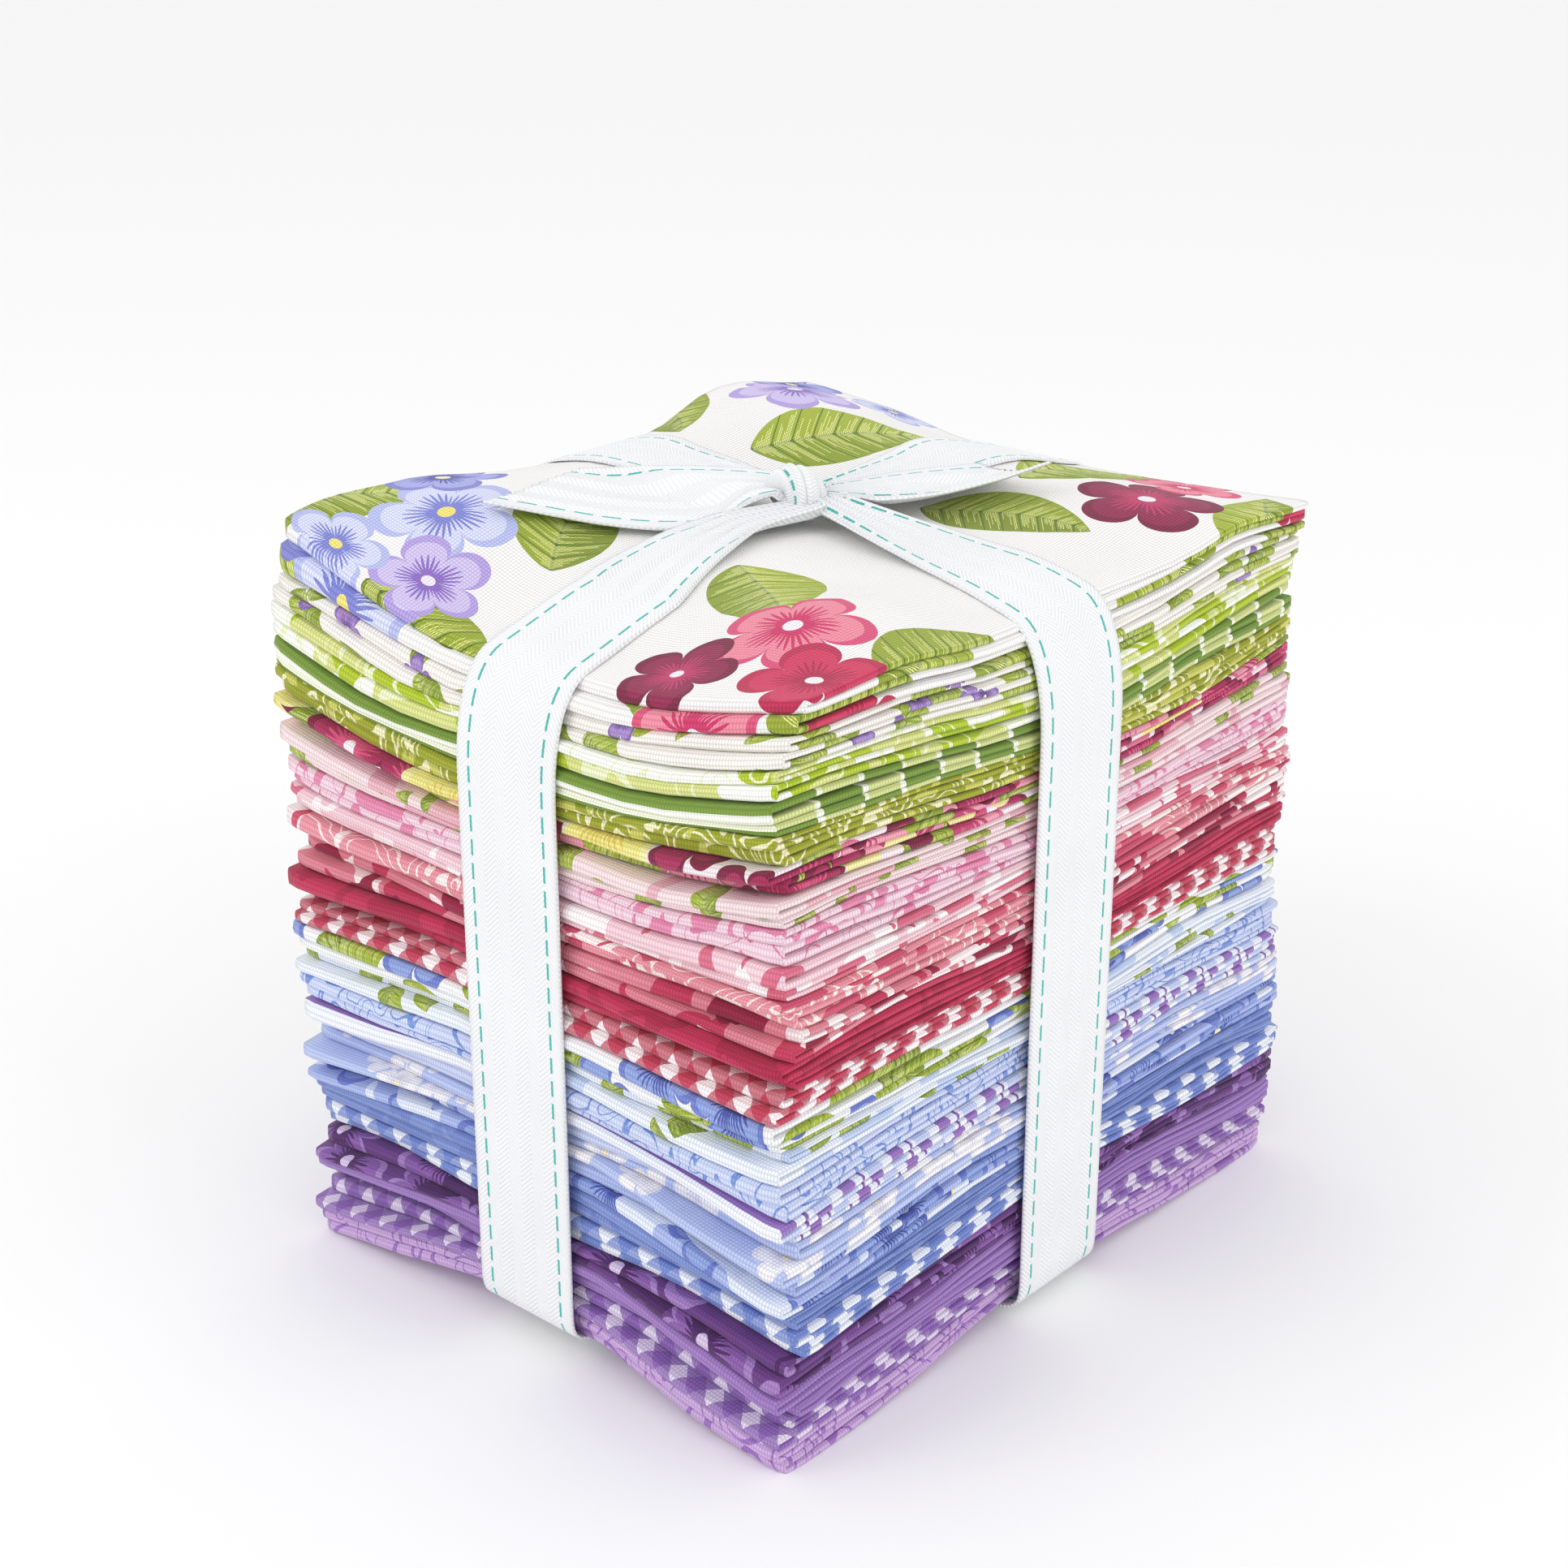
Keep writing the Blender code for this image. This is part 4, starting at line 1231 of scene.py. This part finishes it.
def pleat_wave(share, depth, seed):
    """How far a pleat stands up or down at a share of the ribbon's width."""
    wave = math.cos(2 * math.pi * PLEATS * (share + 0.5) + seed)
    return depth * 0.5 * math.copysign(abs(wave) ** PLEAT_CREST, wave)


def band_stations(line):
    """Place, rise, width, pleat depth, drift and distance at each point of a band's line."""
    lengths = distances(line)
    stations = []
    for number, place in enumerate(line):
        heading = heading_at(line, number)
        rise = Vector((-heading.y, heading.x))
        near = min(lengths[number], lengths[-1] - lengths[number])
        pleat = PLEAT_HEIGHT * (1 - ease(near / PLEAT_REACH))
        drift = SOUTH_DRIFT * math.sin(math.pi * clamp(lengths[number] / DRIFT_REACH))
        drift += SOUTH_START * (1 - ease(lengths[number] / START_REACH))
        stations.append((place, rise, band_width(near), pleat, drift, lengths[number]))
    return stations


# %% Weave the bands
def band_space(swap):
    """Map a band's station and a share across it to a point in space."""

    def to_space(station, share, _tooth):
        place, rise, width, pleat, drift, distance = station
        point = place - rise * pleat_wave(share, pleat, 1.3 * swap + PLEAT_TURN * distance)
        across = share * width + (0.0 if swap else drift)
        return Vector((point.x, -across, point.y)) if swap else Vector((across, point.x, point.y))

    return to_space


ribbon = bmesh.new()
ribbon_uv = ribbon.loops.layers.uv.new("woven_tape")
ribbon_strip(ribbon, ribbon_uv, band_stations(line_y), band_space(False),
             STRIP_STARTS["band_y"])
ribbon_strip(ribbon, ribbon_uv, band_stations(line_x), band_space(True),
             STRIP_STARTS["band_x"])
print("bands", round((distances(line_x)[-1] + distances(line_y)[-1]) / MM), "mm long")

# %% [markdown]
# ## The free ends
# Two short tails leave the knot. One lies on the cloth to the west, the other stands up a
# little to the north-east and curls along its length. Both are cut with pinking shears, so
# their ends are slanted zigzags. They could be dropped by a simulation, but it lays them
# where they happen to fall. So a table gives each tail's middle line, and a point that would
# sink into the cloth is lifted to lie on it.

# %% The free ends' tables
# distance from the knot, x, y, height over the flat stack, width (mm), tilt (degrees)
WEST_TAIL = (
    (0, -1.5, 0.1, 4.2, 8.0, 14.0),
    (9, -9.3, -3.8, 2.8, 15.5, 13.0),
    (19, -16.5, -10.5, 1.7, 20.5, 8.0),
    (31, -25.0, -18.8, 2.4, 22.0, 6.0),
    (47, -36.5, -30.0, 4.8, 22.0, 1.0),
)
EAST_TAIL = (
    (0, 1.5, 1.5, 4.4, 6.0, 0.0),
    (9, 5.5, 9.5, 3.2, 11.0, 4.0),
    (19, 10.2, 18.5, 3.0, 16.0, 7.0),
    (29, 15.0, 27.4, 4.0, 18.0, 9.0),
    (38, 19.0, 34.0, 5.6, 17.5, 9.0),
)
# A cut is how far one corner of the end stands out past the other. An end keeps TAIL_CLEAR
# over the cloth and OVER_BAND over a band's line, and starts to rise BAND_ROOM before it
WEST_CUT = -16.0 * MM
EAST_CUT = 7.0 * MM
TAIL_CLEAR = 0.55 * MM
OVER_BAND = 0.8 * MM
BAND_ROOM = 7 * MM
TAIL_STEPS = 9
PINKING = 0.9 * MM
print("free ends", WEST_TAIL[-1][0], "and", EAST_TAIL[-1][0], "mm long")


# %% Stations of a free end
def smooth_rows(table, steps):
    """The rows of a table with more rows set smoothly between them."""
    rows = [Vector(row) for row in table]
    made = []
    for number in range(len(rows) - 1):
        a = rows[max(0, number - 1)]
        b, c = rows[number], rows[number + 1]
        d = rows[min(len(rows) - 1, number + 2)]
        for step in range(steps):
            t = step / steps
            made.append(0.5 * (2 * b + (c - a) * t + (2 * a - 5 * b + 4 * c - d) * t * t
                               + (3 * b - a - 3 * c + d) * t ** 3))
    return made + [rows[-1]]


def tail_stations(table):
    """Stations of a free end: middle point, heading, sideways, upright, width, distance."""
    rows = smooth_rows(table, TAIL_STEPS)
    centres = [Vector((r[1], r[2], STACK_HEIGHT / MM + r[3])) * MM for r in rows]
    stations = []
    for number, row in enumerate(rows):
        heading = heading_at(centres, number)
        flat_side = heading.cross(Vector((0, 0, 1))).normalized()
        upright = flat_side.cross(heading)
        roll = math.radians(row[5])
        sideways = flat_side * math.cos(roll) + upright * math.sin(roll)
        lift = upright * math.cos(roll) - flat_side * math.sin(roll)
        stations.append((centres[number], heading, sideways, lift, row[4] * MM, row[0] * MM))
    return stations


# %% Where a free end may lie
def band_top(line, along):
    """The height of a band's line over a place on the top."""
    for a, b in zip(line, line[1:]):
        if a.x != b.x and min(a.x, b.x) <= along <= max(a.x, b.x) and a.y > STILL_HEIGHT:
            return a.y + (b.y - a.y) * (along - a.x) / (b.x - a.x)
    return 0.0


def lowest_for_tail(point):
    """How low a free end may lie: on the cloth, or on a band that it crosses."""
    lowest = settle(point.x, point.y, STACK_HEIGHT) + TAIL_CLEAR
    for line, along, across in ((line_y, point.y, point.x), (line_x, point.x, point.y)):
        inside = ease((band_width(abs(along)) / 2 + BAND_ROOM - abs(across)) / BAND_ROOM)
        lowest += inside * max(0.0, band_top(line, along) + OVER_BAND - lowest)
    return lowest


# %% Lay out the free ends
EAST_CURL = 1.6 * MM
TAIL_PLEAT_SEED = 0.8


def tail_space(cut, length, curl):
    """Map a free end's station and a share across it to a point in space."""

    def to_space(station, share, tooth):
        centre, heading, sideways, lift, width, distance = station
        pleat = PLEAT_HEIGHT * (1 - ease(distance / PLEAT_REACH))
        wave = pleat_wave(share, pleat, TAIL_PLEAT_SEED) - curl * (4 * share * share - 0.5)
        slant = cut * distance / length
        point = (centre + sideways * share * width + heading * (share * slant - tooth)
                 - lift * wave)
        point.z = max(point.z, lowest_for_tail(point))
        return point

    return to_space


ribbon_strip(ribbon, ribbon_uv, tail_stations(WEST_TAIL),
             tail_space(WEST_CUT, WEST_TAIL[-1][0] * MM, 0.0),
             STRIP_STARTS["west_tail"], PINKING)
ribbon_strip(ribbon, ribbon_uv, tail_stations(EAST_TAIL),
             tail_space(EAST_CUT, EAST_TAIL[-1][0] * MM, EAST_CURL),
             STRIP_STARTS["east_tail"], PINKING)
print("bands and free ends", len(ribbon.verts), "points")

# %% [markdown]
# ## The knot
# The knot shows one turn of the gathered tape, pulled tight over the crossing bands. The
# whole knot could be tied from one strip, but all of it that is inside stays hidden. So the
# turn that shows is a strip like the others, taken round a small oval, with its pleats
# running along it.

# %% Wrap the knot
# How far it reaches out and up, its width, its creases, how square and how thin it ends
KNOT_REACH = 5.4 * MM
KNOT_RISE = 4.7 * MM
KNOT_WIDTH = 7.0 * MM
KNOT_CREASE = 0.75 * MM
WIDE_CREASES = 3.5
FINE_CREASES = 6
FINE_SHARE = 0.3
KNOT_SQUARE = 0.42
KNOT_END = 0.12
KNOT_FLARE = 0.1
KNOT_STEPS = 48
KNOT_COLUMNS = 56
KNOT_LEAN = 1.8 * MM
# The share of the ribbon's width that the wrap shows, and how far that is from the middle
WRAP_SHARE = 0.35
WRAP_SHIFT = 0.46
WRAP_STEP = 0.8 * MM
towards = Vector((math.sin(CAMERA_YAW), -math.cos(CAMERA_YAW), 0))
beside = Vector((math.cos(CAMERA_YAW), math.sin(CAMERA_YAW), 0))


def wrap_space(station, share, _tooth):
    """Map a station of the wrap round the knot and a share across it to a point."""
    turn, _ = station
    wide = math.sin(math.pi * WIDE_CREASES * (share + 0.5) + 0.5 * math.sin(turn + 0.4))
    fine = math.sin(math.pi * FINE_CREASES * share - 0.8 * math.cos(turn))
    crease = KNOT_CREASE * (abs(wide) ** 0.8 + FINE_SHARE * abs(fine) - 1 - FINE_SHARE)
    size = KNOT_END + (1 - KNOT_END) * max(0.0, math.cos(math.pi * share)) ** KNOT_SQUARE
    out = towards * math.sin(turn) * (KNOT_REACH * size + crease)
    up = Vector((0, 0, 1)) * math.cos(turn) * (KNOT_RISE * size + crease)
    lean = beside * KNOT_LEAN * math.sin(turn)
    width = KNOT_WIDTH * (1 + KNOT_FLARE * math.cos(turn))
    return KNOT_MIDDLE + out + up + lean + beside * share * width


wrap = [(2 * math.pi * step / KNOT_STEPS, step * WRAP_STEP) for step in range(KNOT_STEPS + 1)]
ribbon_strip(ribbon, ribbon_uv, wrap, wrap_space, STRIP_STARTS["wrap"],
             narrowed=WRAP_SHARE, shift=WRAP_SHIFT, columns=KNOT_COLUMNS)
bmesh.ops.remove_doubles(ribbon, verts=ribbon.verts[:], dist=1e-6)
print("ribbon", len(ribbon.faces), "faces")

# %% [markdown]
# ## Twill tape
# The ribbon is white cotton twill in a herringbone, with a dashed line of green-blue
# thread along each edge. Its ribs are 0.7 mm in life and are drawn at 0.9 mm, which shows.
# The eye gets a soft white with a faint slant in it, and no gloss: the slant is a bump and a
# painted shade, the white painted darker between the ribs. The stitches could be
# small tubes, but they are pulled in so flat that a colour between the ribs is enough.

# %% Make the tape's material
RIB_PITCH = 0.9 * MM
BONE_WIDTH = 2.75 * MM
DASH_LINE = 8.3 * MM
DASH_HALF = 0.25 * MM
DASH_PITCH = 4.2 * MM
DASH_SHARE = 0.68
TAPE_DEPTH = 0.12 * MM
# How much the tape's white is painted darker between the ribs, as painted shade
PAINTED_RIB_SHADE = 0.16
TAPE_ROUGHNESS = 0.75
TAPE_SHEEN = 0.15

tape, tape_place, white = start_cloth("woven_cotton_tape", "F3F4F6", "woven_tape")
threads = tape.node_tree
tape_across = add_node(threads, "SeparateXYZ", tape_place)
tape_along = tape_across.node.outputs[1]
bone = add_node(threads, "Math", tape_across, BONE_WIDTH, operation="PINGPONG")
slanted = add_node(threads, "Math", tape_along, bone, operation="ADD")
rib = add_node(threads, "Math", slanted, 2 * math.pi / RIB_PITCH, operation="MULTIPLY")
rib = add_node(threads, "Math", rib, operation="SINE")
rib = add_node(threads, "Math", rib, 0.5, 0.5, operation="MULTIPLY_ADD")
from_middle = add_node(threads, "Math", tape_across, operation="ABSOLUTE")
on_line = add_node(threads, "Math", from_middle, DASH_LINE, DASH_HALF, operation="COMPARE")
dash = add_node(threads, "Math", tape_along, DASH_PITCH, operation="DIVIDE")
dash = add_node(threads, "Math", dash, operation="FRACT")
dash = add_node(threads, "Math", dash, DASH_SHARE, operation="LESS_THAN")
dash = add_node(threads, "Math", dash, on_line, operation="MULTIPLY")
stitched = paint(threads, white, dash, "45B9B0")
tape_shader = woven_surface(tape, stitched, rib, TAPE_DEPTH, PAINTED_RIB_SHADE)
tape_shader.inputs["Roughness"].default_value = TAPE_ROUGHNESS
tape_shader.inputs["Sheen Weight"].default_value = TAPE_SHEEN
print("tape ribs", round(RIB_PITCH / MM, 1), "mm, stitches", round(DASH_PITCH / MM, 1), "mm")

# %% Finish the ribbon
ribbon_piece = finish_piece(ribbon, "tied_ribbon", tape, "ribbon", RIBBON_THICK)
